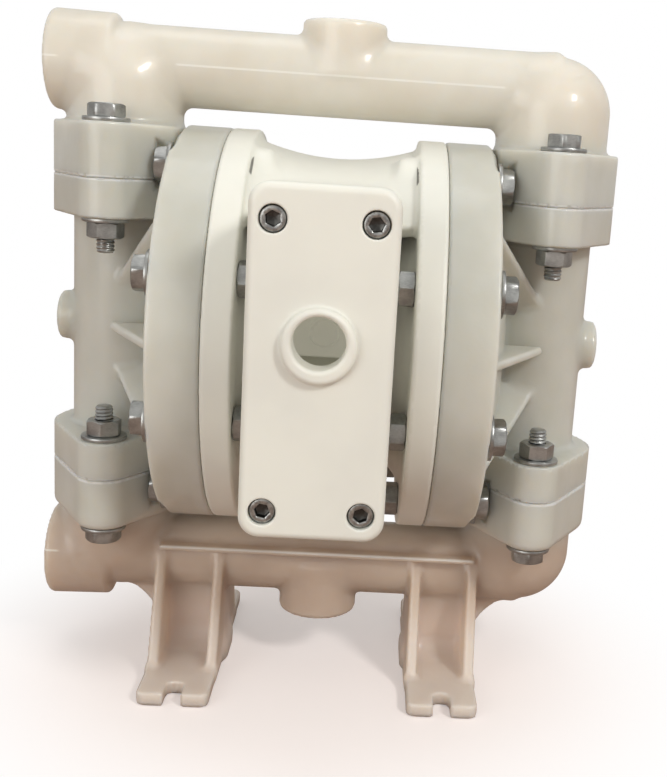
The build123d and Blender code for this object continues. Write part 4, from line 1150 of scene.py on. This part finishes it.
class PUMP_OT_stage(bpy.types.Operator):
    """Makes the floor, the lights, the background and the camera"""
    bl_idname = "pump.stage"
    bl_label = "Stage"

    def execute(self, context):
        scene = context.scene
        scene.view_settings.view_transform = "Standard"
        floor_mesh = bpy.data.meshes.new("floor")
        floor_mesh.from_pydata([(-4, -4, 0), (4, -4, 0), (4, 4, 0), (-4, 4, 0)], [], [(0, 1, 2, 3)])
        floor = bpy.data.objects.new("floor", floor_mesh)
        scene.collection.objects.link(floor)
        floor_mesh.materials.append(floor_finish())
        world = scene.world or bpy.data.worlds.new("studio")
        scene.world = world
        world.use_nodes = True
        studio_world(world.node_tree)
        lamps = (
            ("key", (0.66, -0.80, 0.86), (0.0, -0.03, 0.13), 0.24, 6.0, (1.0, 0.98, 0.94)),
            ("fill", (-0.70, -0.95, 0.30), (0.0, 0.0, 0.10), 0.8, 4.2, (1.0, 0.99, 0.96)),
            ("top", (-0.1, 0.10, 1.1), (0.0, 0.0, 0.14), 0.5, 1.0, (1.0, 0.99, 0.97)),
        )
        for name, place, target, size, power, tint in lamps:
            data = bpy.data.lights.new(name, "AREA")
            data.shape, data.size, data.energy, data.color = "DISK", size, power, tint
            lamp = bpy.data.objects.new(name, data)
            scene.collection.objects.link(lamp)
            ahead = np.array(target) - np.array(place)
            lamp.matrix_world = look_along(place, ahead, (0, 0, 1))
        data = bpy.data.cameras.new("camera")
        data.sensor_width, data.lens = SENSOR, FOCAL * SENSOR / PICTURE_HEIGHT
        data.shift_x = SHIFT_X
        data.clip_start, data.clip_end = 0.01, 50
        camera = bpy.data.objects.new("camera", data)
        scene.collection.objects.link(camera)
        camera.matrix_world = look_along(CAMERA, AHEAD, UP)
        scene.camera = camera
        return {"FINISHED"}


def look_along(place, ahead, up):
    """A lamp or camera at a place, its -Z along ahead and its Y nearest to up."""
    back = -np.array(ahead, float) / np.linalg.norm(ahead)
    right = np.cross(up, back)
    right /= np.linalg.norm(right)
    matrix = np.eye(4)
    matrix[:3, 0], matrix[:3, 1], matrix[:3, 2], matrix[:3, 3] = right, np.cross(back, right), back, place
    return Matrix(matrix.tolist())


def floor_finish():
    """A pale floor that takes the shadow, lifted towards white where the camera sees it.

    The pump itself is lit by the darker red brown that it stood on.
    """
    finish = Finish("floor")
    path = finish.node("LightPath")
    camera_ray = path.outputs["Is Camera Ray"]
    cloud = finish.noise(3, 2)
    colour = finish.mix(cloud, (0.82, 0.74, 0.72), (0.85, 0.78, 0.76))
    pale = finish.node("BsdfPrincipled", {"Base Color": colour, "Roughness": 0.8})
    light = finish.node("Emission", {"Color": (1, 1, 1), "Strength": 0.27})
    seen = finish.node("AddShader", {0: pale.outputs[0], 1: light.outputs[0]})
    brown = finish.mix(cloud, (0.36, 0.26, 0.21), (0.40, 0.29, 0.24))
    dark = finish.node("BsdfDiffuse", {"Color": brown})
    inputs = {0: camera_ray, 1: dark.outputs[0], 2: seen.outputs[0]}
    near = finish.node("MixShader", inputs)
    away = (finish.x * finish.x + finish.y * finish.y) ** 0.5
    far = away.between(0.070, 0.17) * Value(finish, camera_ray)
    white = finish.node("Emission", {"Color": (1, 1, 1), "Strength": 1.0})
    inputs = {0: far, 1: near.outputs[0], 2: white.outputs[0]}
    surface = finish.node("MixShader", inputs)
    finish.node("OutputMaterial", {"Surface": surface.outputs[0]})
    return finish.material


def studio_world(tree):
    """Soft even light all round, and plain white where the camera looks past the pump."""
    tree.nodes.clear()
    path = add_node(tree, "LightPath")
    soft = add_node(tree, "Background", {"Color": (1.0, 0.985, 0.95), "Strength": 0.6})
    white = add_node(tree, "Background", {"Color": (1, 1, 1)})
    inputs = {0: path.outputs["Is Camera Ray"], 1: soft.outputs[0], 2: white.outputs[0]}
    mix = add_node(tree, "MixShader", inputs)
    add_node(tree, "OutputWorld", {"Surface": mix.outputs[0]})


class PUMP_PT_panel(bpy.types.Panel):
    """Lists the pump's steps"""
    bl_idname = "PUMP_PT_panel"
    bl_label = "Diaphragm pump"
    bl_space_type = "VIEW_3D"
    bl_region_type = "UI"
    bl_category = "Pump"

    def draw(self, context):
        for step in STEPS:
            self.layout.operator(step.bl_idname)
        for group in (context.scene.pump_sizes, context.scene.pump_colours):
            for name in group.__annotations__:
                self.layout.prop(group, name)


STEPS = (
    PUMP_OT_working_parts, PUMP_OT_stage, PUMP_OT_discharge_manifold, PUMP_OT_inlet_manifold,
    PUMP_OT_liquid_chambers, PUMP_OT_centre_block, PUMP_OT_exhaust_plate, PUMP_OT_air_valve,
    PUMP_OT_joint_hardware, PUMP_OT_port_threads, PUMP_OT_diaphragms,
)
CLASSES = (PumpColours, PumpSizes, *STEPS, PUMP_PT_panel)


def register():
    for item in CLASSES:
        bpy.utils.register_class(item)
    bpy.types.Scene.pump_colours = bpy.props.PointerProperty(type=PumpColours)
    bpy.types.Scene.pump_sizes = bpy.props.PointerProperty(type=PumpSizes)


def unregister():
    del bpy.types.Scene.pump_sizes
    del bpy.types.Scene.pump_colours
    for item in reversed(CLASSES):
        bpy.utils.unregister_class(item)


def main():
    register()
    bpy.ops.pump.working_parts()
    bpy.ops.pump.stage()
    bpy.ops.pump.discharge_manifold()
    bpy.ops.pump.inlet_manifold()
    bpy.ops.pump.liquid_chambers()
    bpy.ops.pump.centre_block()
    bpy.ops.pump.exhaust_plate()
    bpy.ops.pump.air_valve()
    bpy.ops.pump.joint_hardware()
    bpy.ops.pump.port_threads()
    bpy.ops.pump.diaphragms()


if __name__ == "__main__":
    main()
